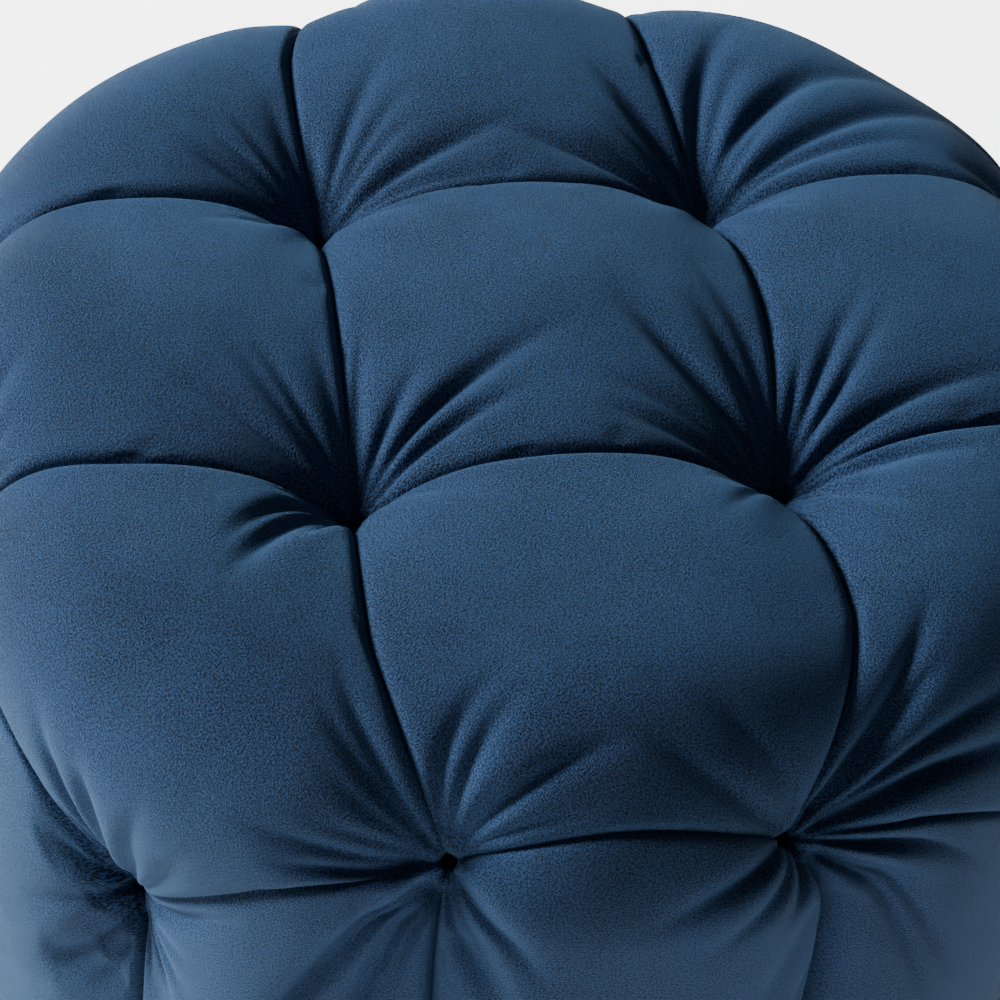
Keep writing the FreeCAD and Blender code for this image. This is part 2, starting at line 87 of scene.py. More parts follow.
@dataclass(frozen=True)
class Outline:
    """The half outline that the lobes' crowns touch: arcs that join without a corner, then a flat.

    A point is found from its distance along the outline. Where an arc of radius r starts with its
    tangent a0 below level, the tangent after a length l is a = a0 + l / r, and the point has moved out
    by r (sin a - sin a0) and up by r (cos a - cos a0).
    """

    top: float = 0.3810
    crown_radius: float = 3.0
    crown_reach: float = 0.163
    shoulder_radius: float = 0.074
    side_start: float = math.radians(86.0)
    side_end: float = math.radians(97.0)
    hem_radius: float = 0.028
    underside: float = 0.008
    turn_in: float = 0.160

    def arcs(self) -> list[tuple[float, float]]:
        """Radius and turn of each arc, from the top's centre outwards and down to the underside."""
        crown_turn = math.asin(self.crown_reach / self.crown_radius)
        shoulder_turn = self.side_start - crown_turn
        crown_fall = self.crown_radius * (1 - math.cos(crown_turn))
        shoulder_fall = self.shoulder_radius * (math.cos(crown_turn) - math.cos(self.side_start))
        hem_fall = self.hem_radius * (math.cos(self.side_end) + 1)
        side_fall = self.top - self.underside - crown_fall - shoulder_fall - hem_fall
        side_radius = side_fall / (math.cos(self.side_start) - math.cos(self.side_end))
        return [
            (self.crown_radius, crown_turn),
            (self.shoulder_radius, shoulder_turn),
            (side_radius, self.side_end - self.side_start),
            (self.hem_radius, math.pi - self.side_end),
        ]

    def locate(self, along: Array) -> tuple[Array, Array, Array]:
        """Finds points on the outline.

        Args:
            along: Distances from the top's centre, along the outline.

        Returns:
            Distance from the axis, height, and angle of the tangent below level.
        """
        out = np.zeros_like(along)
        height = np.full_like(along, self.top)
        angle = np.zeros_like(along)
        begun, turned = 0.0, 0.0
        for radius, turn in self.arcs():
            run = np.clip(along - begun, 0.0, radius * turn) / radius
            out += radius * (np.sin(turned + run) - math.sin(turned))
            height += radius * (np.cos(turned + run) - math.cos(turned))
            angle += run
            begun += radius * turn
            turned += turn
        out -= np.maximum(along - begun, 0.0)
        return out, height, angle

    def length(self) -> float:
        """Distance along the outline from the top's centre to the cover's edge under the base."""
        arcs = sum(radius * turn for radius, turn in self.arcs())
        out, _, _ = self.locate(np.array([arcs]))
        return arcs + float(out[0]) - self.turn_in

    def hem_start(self) -> float:
        """Distance along the outline to where the side turns under."""
        return sum(radius * turn for radius, turn in self.arcs()[:3])

    def surface(self, along: Array, azimuth: Array) -> tuple[Array, Array]:
        """Points and outward normals of the form that the outline sweeps round the axis.

        Args:
            along: Distances along the outline.
            azimuth: Angles round the axis.

        Returns:
            Points and unit normals, with three numbers on the last axis.
        """
        out, height, angle = self.locate(along)
        points = np.stack([out * np.cos(azimuth), out * np.sin(azimuth), height], -1)
        lean = np.sin(angle)
        normals = np.stack([lean * np.cos(azimuth), lean * np.sin(azimuth), np.cos(angle)], -1)
        return points, normals


@dataclass(frozen=True)
class TuftSetting:
    """Where one family's buttons sit, and how deep the pleats have sunk where they meet."""

    out: float
    height: float
    slope: float
    throat: float


@dataclass(frozen=True)
class Tuft:
    """One tuft: its button's seat, the way its pit points, and where that leaves the outer form."""

    seat: Array
    axis: Array
    mouth: Array
    spot: Array
    depth: float
    throat: float


@dataclass
class TuftPlan:
    """The sixteen tufts, as a grid of four by four wrapped over the drum."""

    outline: Outline
    rim_turn: float = math.radians(15.0)
    settings: dict[TuftKind, TuftSetting] = field(default_factory=lambda: {
        TuftKind.MIDDLE: TuftSetting(PITCH / math.sqrt(2.0), 0.296, math.radians(90.0), 0.043),
        TuftKind.RIM: TuftSetting(0.190, 0.300, math.radians(54.0), 0.030),
        TuftKind.CORNER: TuftSetting(0.178, 0.238, math.radians(25.0), 0.032),
    })

    def tuft(self, column: int, row: int) -> Tuft:
        """The tuft in one column and row of the grid, each counted from 0 to 3."""
        side = np.array([column - 1.5, row - 1.5])
        inner = np.abs(side) < 1.0
        kind = (TuftKind.CORNER, TuftKind.RIM, TuftKind.MIDDLE)[int(inner.sum())]
        setting = self.settings[kind]
        level = np.sign(side) / math.sqrt(2.0)
        if kind is TuftKind.RIM:
            level = np.sign(side) * np.where(inner, math.sin(self.rim_turn), math.cos(self.rim_turn))
        seat = np.append(level * setting.out, setting.height)
        axis = np.append(level * math.cos(setting.slope), math.sin(setting.slope))
        along = self._leaves_form(setting)
        azimuth = math.atan2(level[1], level[0])
        mouth, _ = self.outline.surface(np.array(along), np.array(azimuth))
        depth = float((mouth - seat) @ axis)
        return Tuft(seat, axis, mouth, level * along, depth, setting.throat)

    def _leaves_form(self, setting: TuftSetting) -> float:
        """Distance along the outline where a line out of a button's seat crosses it.

        The signed distance of a point from the line is the cross product of the line's direction and
        the point's offset from the seat. It changes sign once on the way down the outline.
        """
        along = np.linspace(0.0, self.outline.hem_start(), 4000)
        reach, height, _ = self.outline.locate(along)
        rise, step = height - setting.height, reach - setting.out
        aside = math.cos(setting.slope) * rise - math.sin(setting.slope) * step
        crossed = int(np.argmax(aside < 0.0))
        share = aside[crossed - 1] / (aside[crossed - 1] - aside[crossed])
        return float(along[crossed - 1] + share * (along[crossed] - along[crossed - 1]))


@dataclass
class Pleat:
    """A fold line on the form: its points, its length, and how its broad valley and its crease sink."""

    spots: Array
    length: float
    sunk: Array
    crease: Array

    def reversed(self) -> "Pleat":
        """The same pleat, run the other way."""
        return Pleat(self.spots[::-1], self.length, self.sunk[::-1], self.crease[::-1])


@dataclass(frozen=True)
class PleatCut:
    """How a pleat lies between its tufts: its broad valley, its sharp crease and its sideways bow."""

    sunk: float = 0.0080
    crease: float = 0.0045
    bow: float = 0.0
    fade: float = 0.024


@dataclass(frozen=True)
class Gather:
    """A fan of small folds that runs out of one tuft into one lobe.

    Turns are shares of the lobe's corner, from 0 along its first pleat to 1 along its second. The
    bend is what a fold's turn gains over each step away from the tuft.
    """

    folds: int = 6
    depth: float = 0.0042
    reach: float = 0.070
    first: float = 0.08
    last: float = 0.92
    bend: float = 0.0
    width: float = 0.0012
    bend_step: float = 0.05
    widening: float = 0.022
    blunting: float = 0.020
    start: tuple[float, float] = (0.004, 0.013)
    meeting: float = 0.0015

    def sunk(self, across: Array, down: Array, luck: np.random.Generator) -> Array:
        """How deep the fan's valleys are at places measured from the tuft along the two pleats.

        Each valley runs at its own turn t + b q, with q the distance from the tuft. Across it the
        depth falls as exp(-|c| / w), so valleys are sharp and the cloth between them is round. Along
        it the depth rises out of the pit and dies away towards the valley's own reach.
        """
        far = np.hypot(across, down)
        turn = np.arctan2(down, across) / (math.pi / 2)
        starts = np.linspace(self.first, self.last, self.folds)
        spacing = (self.last - self.first) / max(self.folds - 1, 1)
        total = np.zeros_like(far)
        for start in starts:
            place = start + spacing * luck.uniform(-0.34, 0.34)
            bend = (self.bend + luck.normal(0.0, 0.05)) / self.bend_step
            reach = self.reach * luck.uniform(0.55, 1.35)
            depth = self.depth * luck.uniform(0.6, 1.5)
            width = self.width * luck.uniform(0.8, 1.3) + self.widening * far
            blunt = VALLEY_ROUND + self.blunting * far
            aside = np.hypot((turn - place - bend * far) * (math.pi / 2) * far, blunt) - blunt
            along = smooth(*self.start, far) * (1 - smooth(0.30 * reach, reach, far))
            total += depth * along * np.exp(-aside / width)
        meets = (1 - np.exp(-across / self.meeting)) * (1 - np.exp(-down / self.meeting))
        return total * meets


SMALL_FAN = Gather(4, 0.0022, 0.050)


@dataclass
class Lobe:
    """One pillow of velvet: a grid of points between four lines, with its shares across and down.

    The lines are its first and last row and its first and last column. A tuft stands at each corner
    of a top lobe, and at the first two corners of a side lobe.
    """

    panel: Panel
    first: Pleat
    last: Pleat
    left: Pleat
    right: Pleat
    spots: Array
    across: Array
    down: Array
    tufts: list[Tuft]

    def reaches(self, corner: int) -> tuple[Array, Array]:
        """Distances from a corner, across and down, in metres along the cloth.

        The lobe's width runs evenly from its first row's length to its last row's, and its height
        from its first column's to its last column's, so two lobes agree along the line they share.
        """
        u, v = np.meshgrid(self.across, self.down)
        width = (1 - v) * self.first.length + v * self.last.length
        height = (1 - u) * self.left.length + u * self.right.length
        return (1 - u if corner % 2 else u) * width, (1 - v if corner // 2 else v) * height


@dataclass
class Grading:
    """Shares from 0 to 1 that crowd together at both ends, where the cloth bends most."""

    crowding: float = 0.55

    def shares(self, count: int) -> Array:
        """An even run e, pulled to its ends: e - c sin(2 pi e) / (2 pi)."""
        even = np.linspace(0.0, 1.0, count + 1)
        return even - self.crowding * np.sin(2 * math.pi * even) / (2 * math.pi)

    def shares_down(self, count: int) -> Array:
        """A run that crowds at its start only: e - c e (1 - e)^2."""
        even = np.linspace(0.0, 1.0, count + 1)
        return even - self.crowding * even * (1 - even) ** 2


def smooth(edge0: float, edge1: float, value: Array) -> Array:
    """A share from 0 to 1 that eases in and out between two edges: 3 t^2 - 2 t^3."""
    share = np.clip((value - edge0) / (edge1 - edge0), 0.0, 1.0)
    return share * share * (3 - 2 * share)


def turned_points(spots: Array) -> tuple[Array, Array]:
    """Distance along the outline and azimuth of points on the plane map."""
    return np.hypot(spots[..., 0], spots[..., 1]), np.arctan2(spots[..., 1], spots[..., 0])


def spanned(top: Array, bottom: Array, left: Array, right: Array, down: Array, across: Array) -> Array:
    """A Coons patch: the sum of the two ruled surfaces, less the one ruled through the corners.

    Args:
        top: Edge where down is 0, along across.
        bottom: Edge where down is 1, along across.
        left: Edge where across is 0, along down.
        right: Edge where across is 1, along down.
        down: Weight of the bottom edge at each row.
        across: Weight of the right edge at each column.

    Returns:
        The grid of points, rows by columns.
    """
    v = down[:, None, None]
    u = across[None, :, None]
    ruled = (1 - v) * top[None] + v * bottom[None] + (1 - u) * left[:, None] + u * right[:, None]
    flat = (1 - v) * ((1 - u) * top[0] + u * top[-1]) + v * ((1 - u) * bottom[0] + u * bottom[-1])
    return ruled - flat


PIT_SHARES = (0.0, 0.12, 0.22, 0.34, 0.52, 0.70, 1.0)
PIT_DEPTHS = (1.0, 1.0, 0.98, 0.70, 0.34, 0.12, 0.0)
PIT_RADII = (0.0, 0.0070, 0.0093, 0.0055, 0.0026, 0.0040, 0.0090)
"""How a pit runs from under its button (share 0) to its mouth (share 1), as shares of its depth
below the throat and as radii."""


@dataclass
class Form:
    """The tufted form: the outline, the tufts, and the lobes spanned between their pleats."""

    divisions: int = 96
    side_rows: float = 1.7
    outline: Outline = field(default_factory=Outline)
    grading: Grading = field(default_factory=Grading)
    top_fullness: float = 3.0
    side_fullness: float = 2.3
    crease_width: float = 0.0014
    crease_start: float = 0.08
    tuft_sunk: float = 0.0110
    funnel_fade: float = 0.023
    funnel_pinch: float = 0.30
    funnel_ends: tuple[float, float] = (0.085, 0.105)
    hem_pleat_sunk: float = 0.0170
    hem_pleat_crease: float = 0.0090
    hem_pleat_start: float = 0.05
    hem_pleat_fade: float = 0.030
    hem_lean_fade: float = 0.08
    hem_flattens: tuple[float, float] = (-0.030, 0.045)
    pit_reach: float = 0.030
    pit_pull: float = 3.0
    pit_mouth: float = 0.009
    seed: int = 11

    def __post_init__(self) -> None:
        """Places the tufts."""
        plan = TuftPlan(self.outline)
        self.tufts = [[plan.tuft(column, row) for row in range(4)] for column in range(4)]
        self.shares = self.grading.shares(self.divisions)
        self.shares_down = self.grading.shares_down(int(self.divisions * self.side_rows))

    def pleat(self, start: Tuft, end: Tuft, cut: PleatCut) -> Pleat:
        """A pleat between two tufts.

        On the plane map it is the straight line between them, bowed sideways as a sine. Its valley
        goes from its own depth to the tufts' shared one as the distance from a tuft falls off
        exponentially.
        """
        t = self.shares
        chord = end.spot - start.spot
        length = float(np.hypot(*chord))
        aside = np.array([-chord[1], chord[0]]) / length
        spots = start.spot + t[:, None] * chord + np.sin(math.pi * t)[:, None] * aside * cut.bow
        near = self._fall(t * length, length, cut.fade)
        far = self._fall((1 - t) * length, length, cut.fade)
        sunk = cut.sunk + (self.tuft_sunk - cut.sunk) * (near + far)
        crease = cut.crease * smooth(0.0, self.crease_start, t) * smooth(0.0, self.crease_start, 1 - t)
        return Pleat(spots, length, sunk, crease)

    @staticmethod
    def _fall(distance: Array, length: float, fade: float) -> Array:
        """An exponential fall that is 1 at no distance and 0 at the given length."""
        rest = math.exp(-length / fade)
        return (np.exp(-distance / fade) - rest) / (1 - rest)

    def hem_pleat(self, tuft: Tuft, lean: float) -> Pleat:
        """A pleat from a tuft down to the hem and under the base, in distance along and azimuth."""
        t = self.shares_down
        begun, azimuth = turned_points(tuft.spot)
        length = self.outline.length() - float(begun)
        along = begun + t * length
        swing = lean * (1 - np.exp(-t / self.hem_lean_fade)) * (1 - t) ** 2
        fall = self._fall(along - begun, length, self.hem_pleat_fade)
        starts, ends = self.hem_flattens
        flat = 1 - smooth(starts, ends, along - self.outline.hem_start())
        sunk = (self.hem_pleat_sunk + (self.tuft_sunk - self.hem_pleat_sunk) * fall) * flat
        crease = self.hem_pleat_crease * smooth(0.0, self.hem_pleat_start, t) * flat
        return Pleat(np.stack([along, azimuth + swing], -1), length, sunk, crease)

    def sinking(self, lobe: Lobe) -> Array:
        """How far each point of a lobe has sunk below the form.

        Three things add up: the broad valleys of its four lines, which fade across the lobe as a
        power of the share left; their creases, which fall off exponentially in a millimetre or so;
        and a funnel round each tuft, a exp(-q / f), shallower half way between two pleats.
        """
        fullness = self.top_fullness if lobe.panel is Panel.TOP else self.side_fullness
        valley = self._between(lobe, "sunk", lambda share, reach: (1 - share) ** fullness)
        crease = self._between(
            lobe, "crease", lambda share, reach: np.exp(-share * reach / self.crease_width) * (1 - share))
        total = valley + crease
        for corner, tuft in enumerate(lobe.tufts):
            across, down = lobe.reaches(corner)
            far = np.hypot(across, down)
            between = np.sin(2 * np.arctan2(down, across)) ** 2
            fade = self.funnel_fade * (1 - self.funnel_pinch * between)
            window = 1 - smooth(*self.funnel_ends, far)
            total += (tuft.throat - self.tuft_sunk) * np.exp(-far / fade) * window
        return total

    def _between(self, lobe: Lobe, part: str, blend: Callable[[Array, float], Array]) -> Array:
        """One part of the four lines' sinking, blended across a lobe and counted once at its corners."""
        first, last = getattr(lobe.first, part)[None], getattr(lobe.last, part)[None]
        left, right = getattr(lobe.left, part)[:, None], getattr(lobe.right, part)[:, None]
        high = max(lobe.left.length, lobe.right.length)
        wide = max(lobe.first.length, lobe.last.length)
        rise, fall = blend(lobe.down, high)[:, None], blend(1 - lobe.down, high)[:, None]
        near, far = blend(lobe.across, wide)[None], blend(1 - lobe.across, wide)[None]
        edges = rise * first + fall * last + near * left + far * right
        corners = rise * (near * first[:, :1] + far * first[:, -1:])
        corners = corners + fall * (near * last[:, :1] + far * last[:, -1:])
        return edges - corners

    def settle(self, spots: Array, sunk: Array, panel: Panel, pits: bool = True) -> Array:
        """Puts points of a lobe into space.

        A point goes in from the form along a direction that turns from the form's normal to the pit's
        axis as it nears a tuft: n + a k exp(-(q / reach)^2), made a unit again. Inside the pit it also
        moves round the axis onto the pit's profile, narrow at the throat and wide at the button.

        Args:
            spots: Plane map points of a top lobe, or distances along and azimuths of a side lobe.
            sunk: How far each point is below the form.
            panel: Which of the two the spots are.
            pits: Whether the points by a tuft go down its pit to the button.

        Returns:
            The points.
        """
        along, azimuth = turned_points(spots) if panel is Panel.TOP else (spots[..., 0], spots[..., 1])
        points, normals = self.outline.surface(along, azimuth)
        heading = normals.copy()
        tufts = []
        for tuft in (tuft for column in self.tufts for tuft in column):
            offset = points - tuft.mouth
            offset -= (offset @ tuft.axis)[..., None] * tuft.axis
            gap = np.linalg.norm(points - tuft.mouth, axis=-1)
            heading += tuft.axis * (self.pit_pull * np.exp(-((gap / self.pit_reach) ** 2)))[..., None]
            tufts.append((tuft, offset, gap))
        heading /= np.linalg.norm(heading, axis=-1)[..., None]
        settled = points - heading * sunk[..., None]
        for tuft, offset, gap in tufts if pits else []:
            share = np.clip(gap / self.pit_mouth, 0.0, 1.0)
            extra = np.interp(share, PIT_SHARES, PIT_DEPTHS) * (tuft.depth - tuft.throat)
            radius = np.interp(share, PIT_SHARES, PIT_RADII)
            scale = np.where(share < 1.0, radius / np.maximum(gap, 1e-6) - 1.0, 0.0)
            settled += offset * scale[..., None] - tuft.axis * extra[..., None]
        return settled


@dataclass
class Cover:
    """The velvet: nine lobes on top and twelve down the side, gathered at the tufts."""

    form: Form = field(default_factory=Form)
    swell: float = 0.0007
    deepest_fold: float = 0.0085
    hem_gathers: int = 6
    hem_fold: float = 0.0020
    hem_fold_width: float = 0.0026
    plain: PleatCut = PleatCut()
    cuts: dict[tuple[Cell, Cell], PleatCut] = field(default_factory=lambda: {
        ((1, 2), (2, 2)): PleatCut(0.0095),
        ((1, 1), (2, 1)): PleatCut(0.0070),
        ((1, 1), (1, 2)): PleatCut(0.0095),
        ((2, 1), (2, 2)): PleatCut(0.0095, bow=-0.007),
        ((1, 0), (1, 1)): PleatCut(0.0095, bow=0.007),
        ((2, 0), (2, 1)): PleatCut(0.0105, bow=-0.014),
        ((1, 0), (2, 0)): PleatCut(0.0060, bow=0.002),
        ((0, 0), (1, 0)): PleatCut(0.0100, bow=-0.013),
        ((2, 0), (3, 0)): PleatCut(0.0080, bow=0.003),
        ((0, 1), (1, 1)): PleatCut(0.0090, bow=0.004),
        ((0, 2), (1, 2)): PleatCut(0.0090, bow=0.005),
        ((2, 1), (3, 1)): PleatCut(0.0090, bow=0.003),
        ((2, 2), (3, 2)): PleatCut(0.0095, bow=0.004),
        ((0, 0), (0, 1)): PleatCut(0.0090, bow=-0.004),
        ((1, 2), (1, 3)): PleatCut(0.0080, bow=0.009),
        ((2, 2), (2, 3)): PleatCut(0.0080, bow=0.005),
    })
    leans: dict[int, float] = field(default_factory=lambda: {0: 3.0, 9: 4.0, 10: -0.7, 11: 5.0})
    plain_fan: Gather = Gather(folds=6, depth=0.0034, reach=0.062)
    fans: dict[int, list[Gather]] = field(default_factory=lambda: {
        0: [Gather(7, 0.0046, 0.080, 0.12, 0.92), Gather(6, 0.0056, 0.095, 0.08, 0.80, 0.05),
            Gather(4, 0.0024, 0.050), Gather(5, 0.0050, 0.060, 0.12, 0.66, 0.08)],
        1: [Gather(5, 0.0030, 0.060), Gather(5, 0.0030, 0.070, 0.10, 0.85),
            Gather(3, 0.0014, 0.040), Gather(3, 0.0022, 0.045, 0.10, 0.40)],
        2: [Gather(5, 0.0030, 0.060), Gather(5, 0.0036, 0.065, 0.10, 0.80, 0.06),
            SMALL_FAN, SMALL_FAN],
        3: [Gather(5, 0.0046, 0.075, 0.28, 0.90, -0.04), Gather(5, 0.0028, 0.065, 0.15, 0.90),
            Gather(2, 0.0012, 0.034, 0.15, 0.45), Gather(4, 0.0022, 0.046, 0.10, 0.50)],
        4: [Gather(4, 0.0050, 0.080, 0.32, 0.88, -0.04), Gather(6, 0.0034, 0.085, 0.10, 0.90, 0.05),
            Gather(3, 0.0012, 0.035, 0.12, 0.50), Gather(2, 0.0010, 0.035, 0.12, 0.40)],
        5: [Gather(6, 0.0034, 0.070, 0.10, 0.90), Gather(5, 0.0034, 0.075, 0.12, 0.88),
            SMALL_FAN, SMALL_FAN],
        6: [Gather(8, 0.0056, 0.095, 0.08, 0.86, -0.05), Gather(5, 0.0034, 0.070),
            Gather(4, 0.0036, 0.060, 0.10, 0.62), Gather(4, 0.0024, 0.050)],
        7: [Gather(6, 0.0048, 0.080, 0.14, 0.92, -0.04), Gather(4, 0.0028, 0.060),
            Gather(4, 0.0020, 0.042, 0.08, 0.42), Gather(4, 0.0020, 0.046)],
        8: [Gather(8, 0.0056, 0.115, 0.10, 0.92, -0.08), Gather(5, 0.0030, 0.060),
            SMALL_FAN, SMALL_FAN],
        17: [Gather(5, 0.0034, 0.080), Gather(6, 0.0040, 0.095, 0.10, 0.90)],
        18: [Gather(5, 0.0036, 0.080, 0.15, 0.90), Gather(5, 0.0060, 0.130, 0.40, 0.92)],
        19: [Gather(3, 0.0046, 0.090, 0.66, 0.94), Gather(3, 0.0048, 0.075, 0.38, 0.80)],
        20: [Gather(6, 0.0046, 0.100, 0.12, 0.90), Gather(5, 0.0036, 0.080)],
    })

    def __post_init__(self) -> None:
        """Starts with no pleat run and with a fresh run of random draws."""
        self.pleats: dict[tuple[Cell, Cell], Pleat] = {}
        self.luck = np.random.default_rng(self.form.seed)

    def pleat(self, start: Cell, end: Cell) -> Pleat:
        """The pleat between two neighbouring tufts, given by column and row, run from start to end."""
        low, high = min(start, end), max(start, end)
        if (low, high) not in self.pleats:
            cut = self.cuts.get((low, high), self.plain)
            tufts = self.form.tufts
            self.pleats[low, high] = self.form.pleat(tufts[low[0]][low[1]], tufts[high[0]][high[1]], cut)
        kept = self.pleats[low, high]
        return kept if start == low else kept.reversed()

    def rim(self) -> list[Cell]:
        """The outer tufts in turn, anticlockwise seen from above."""
        right = [(3, row) for row in range(3)]
        back = [(column, 3) for column in range(3, 0, -1)]
        left = [(0, row) for row in range(3, 0, -1)]
        front = [(column, 0) for column in range(3)]
        return right + back + left + front

    def top_lobe(self, column: int, row: int) -> Lobe:
        """The lobe whose front left tuft is at a column and row."""
        form = self.form
        front = self.pleat((column, row), (column + 1, row))
        back = self.pleat((column, row + 1), (column + 1, row + 1))
        left = self.pleat((column, row), (column, row + 1))
        right = self.pleat((column + 1, row), (column + 1, row + 1))
        shares = form.shares
        spots = spanned(front.spots, back.spots, left.spots, right.spots, shares, shares)
        tufts = [form.tufts[column + a][row + b] for b in (0, 1) for a in (0, 1)]
        return Lobe(Panel.TOP, front, back, left, right, spots, shares, shares, tufts)

    def side_lobe(self, number: int) -> Lobe:
        """The lobe that hangs between one outer tuft and the next."""
        form = self.form
        cells = self.rim()
        start, end = cells[number], cells[(number + 1) % len(cells)]
        head = self.pleat(start, end)
        along, azimuth = turned_points(head.spots)
        first, last = form.tufts[start[0]][start[1]], form.tufts[end[0]][end[1]]
        middle = math.atan2(*(first.spot + last.spot)[::-1])
        azimuth = middle + (azimuth - middle + math.pi) % (2 * math.pi) - math.pi
        left, right = self.hem_pleat(number), self.hem_pleat((number + 1) % len(cells))
        near = left.spots + np.array([0.0, azimuth[0] - left.spots[0, 1]])
        far = right.spots + np.array([0.0, azimuth[-1] - right.spots[0, 1]])
        shares, down = form.shares, form.shares_down
        hem = near[-1] + shares[:, None] * (far[-1] - near[-1])
        spots = spanned(np.stack([along, azimuth], -1), hem, near, far, down, shares)
        flat = np.zeros(len(shares))
        width = HEM_RADIUS * float(far[-1, 1] - near[-1, 1])
        edge = Pleat(hem, width, flat, flat)
        return Lobe(Panel.SIDE, head, edge, left, right, spots, shares, down, [first, last])

    def lobes(self) -> list[Lobe]:
        """All the lobes: the top's, column by column, and then the side's, anticlockwise."""
        top = [self.top_lobe(column, row) for column in range(3) for row in range(3)]
        return top + [self.side_lobe(number) for number in range(12)]

    def build(self, moves: list[Array] | None) -> bpy.types.Object:
        """Builds the cover.

        Args:
            moves: How far the inflated cloth moves each lobe's points, or None to leave them.

        Returns:
            The cover's object.
        """
        work = Patchwork()
        for number, lobe in enumerate(self.lobes()):
            fans = self.fans.get(number, [self.plain_fan] * len(lobe.tufts))
            folds = self.gathered(lobe, fans) + self.drape(lobe)
            if lobe.panel is Panel.SIDE:
                folds = folds + self.hem_folds(lobe)
            points = self.form.settle(lobe.spots, self.form.sinking(lobe) + folds, lobe.panel)
            if moves:
                points = points + resampled(moves[number], *points.shape[:2])
            cloth = lobe.spots if lobe.panel is Panel.TOP else lobe.spots[..., ::-1] * (HEM_RADIUS, 1.0)
            work.add(points, cloth, turned=lobe.panel is Panel.SIDE)
        return placed("velvet_cover_cloth", work.mesh("velvet_cover_cloth"))

    def hem_folds(self, lobe: Lobe) -> Array:
        """Small upright folds over the hem, where the cover is stapled: each a valley that fades upwards.

        Across a fold the depth falls as exp(-|c| / w), and along it as a smooth step from the hem up.
        """
        u, along = np.broadcast_arrays(lobe.across[None], lobe.spots[..., 0])
        hem = self.form.outline.hem_start()
        total = np.zeros_like(along)
        for place in (np.arange(self.hem_gathers) + 0.5) / self.hem_gathers:
            place = place + self.luck.uniform(-0.3, 0.3) / self.hem_gathers
            height, depth = self.luck.uniform(0.03, 0.11), self.luck.uniform(0.5, 1.4) * self.hem_fold
            lean = self.luck.normal(0.0, 0.35)
            aside = (u - place) * lobe.last.length - lean * (along - hem)
            cusp = np.exp(-(np.hypot(aside, VALLEY_ROUND) - VALLEY_ROUND) / self.hem_fold_width)
            window = smooth(hem - height, hem, along) * (1 - smooth(hem + 0.02, hem + 0.05, along))
            total += depth * window * cusp
        return total * smooth(0.0, 0.06, u) * smooth(0.0, 0.06, 1 - u)

    def drape(self, lobe: Lobe) -> Array:
        """Slow hollows and swells in a lobe, a millimetre or so: three crossed sines, flat at its lines."""
        u, v = np.meshgrid(lobe.across, lobe.down)
        total = np.zeros_like(u)
        for _ in range(3):
            along, aside = self.luck.uniform(0.6, 1.9, 2)
            start, turn = self.luck.uniform(0.0, 2 * math.pi, 2)
            total += np.sin(math.pi * (along * u * math.cos(turn) + aside * v * math.sin(turn)) * 2 + start)
        window = (u * (1 - u) * v * (1 - v) * 16) ** 0.7
        return self.swell * total * window

    def gathered(self, lobe: Lobe, gathers: list[Gather]) -> Array:
        """How deep a lobe's fans of folds are: one fan for each corner, in the corners' order.

        Args:
            lobe: The lobe, whose shares run from its first corner.
            gathers: A fan for each corner: first and last of the first row, then of the last row.
        """
        fans = [gather.sunk(*lobe.reaches(corner), self.luck) for corner, gather in enumerate(gathers)]
        return self.deepest_fold * np.tanh(np.sum(fans, axis=0) / self.deepest_fold)

    def hem_pleat(self, number: int) -> Pleat:
        """The pleat from an outer tuft down to the hem, in distances along and azimuths."""
        column, row = self.rim()[number]
        lean = math.radians(self.leans.get(number, 2.0 * math.sin(2.3 * number + 0.4)))
        return self.form.hem_pleat(self.form.tufts[column][row], lean)


def quads(rows: int, columns: int, start: int, turned: bool) -> Indices:
    """The faces of a grid of points, row by row, as four indices each.

    Args:
        rows: Rows of points.
        columns: Columns of points.
        start: Index of the grid's first point.
        turned: Whether rows run down as seen from outside, which turns the faces round.
    """
    index = start + np.arange(rows * columns).reshape(rows, columns)
    a, b, c, d = index[:-1, :-1], index[:-1, 1:], index[1:, 1:], index[1:, :-1]
    order = (a, d, c, b) if turned else (a, b, c, d)
    return np.stack([corner.ravel() for corner in order], -1)


@dataclass
class Patchwork:
    """Grids of points gathered into one mesh, with the points that they share joined."""

    points: list[Array] = field(default_factory=list)
    faces: list[Indices] = field(default_factory=list)
    cloth: list[Array] = field(default_factory=list)
    shapes: list[tuple[int, int]] = field(default_factory=list)
    joined: Indices | None = None
    count: int = 0

    def add(self, grid: Array, cloth: Array, turned: bool) -> None:
        """Adds one grid of points with its places on the cloth, in metres."""
        rows, columns = grid.shape[:2]
        self.shapes.append((rows, columns))
        self.points.append(grid.reshape(-1, 3))
        self.cloth.append(cloth.reshape(-1, 2))
        self.faces.append(quads(rows, columns, self.count, turned))
        self.count += rows * columns

    def edges(self) -> list[Indices]:
        """Indices of the points on the outline of each grid."""
        found, begun = [], 0
        for rows, columns in self.shapes:
            index = begun + np.arange(rows * columns).reshape(rows, columns)
            found.append(np.concatenate([index[0], index[-1], index[:, 0], index[:, -1]]))
            begun += rows * columns
        return found

    def mesh(self, name: str) -> bpy.types.Mesh:
        """The joined mesh, with its cloth map and smooth shading."""
        points = np.concatenate(self.points)
        faces = np.concatenate(self.faces)
        cloth = np.concatenate(self.cloth)[faces.ravel()]
        _, first, inverse = np.unique(np.round(points, 7), axis=0, return_index=True, return_inverse=True)
        made = bpy.data.meshes.new(name)
        self.joined = inverse.ravel()
        made.from_pydata(points[first], [], self.joined[faces].tolist())
        layer = made.uv_layers.new(name="cloth")
        layer.data.foreach_set("uv", cloth.astype(np.float32).ravel())
        made.shade_smooth()
        made.validate()
        return made


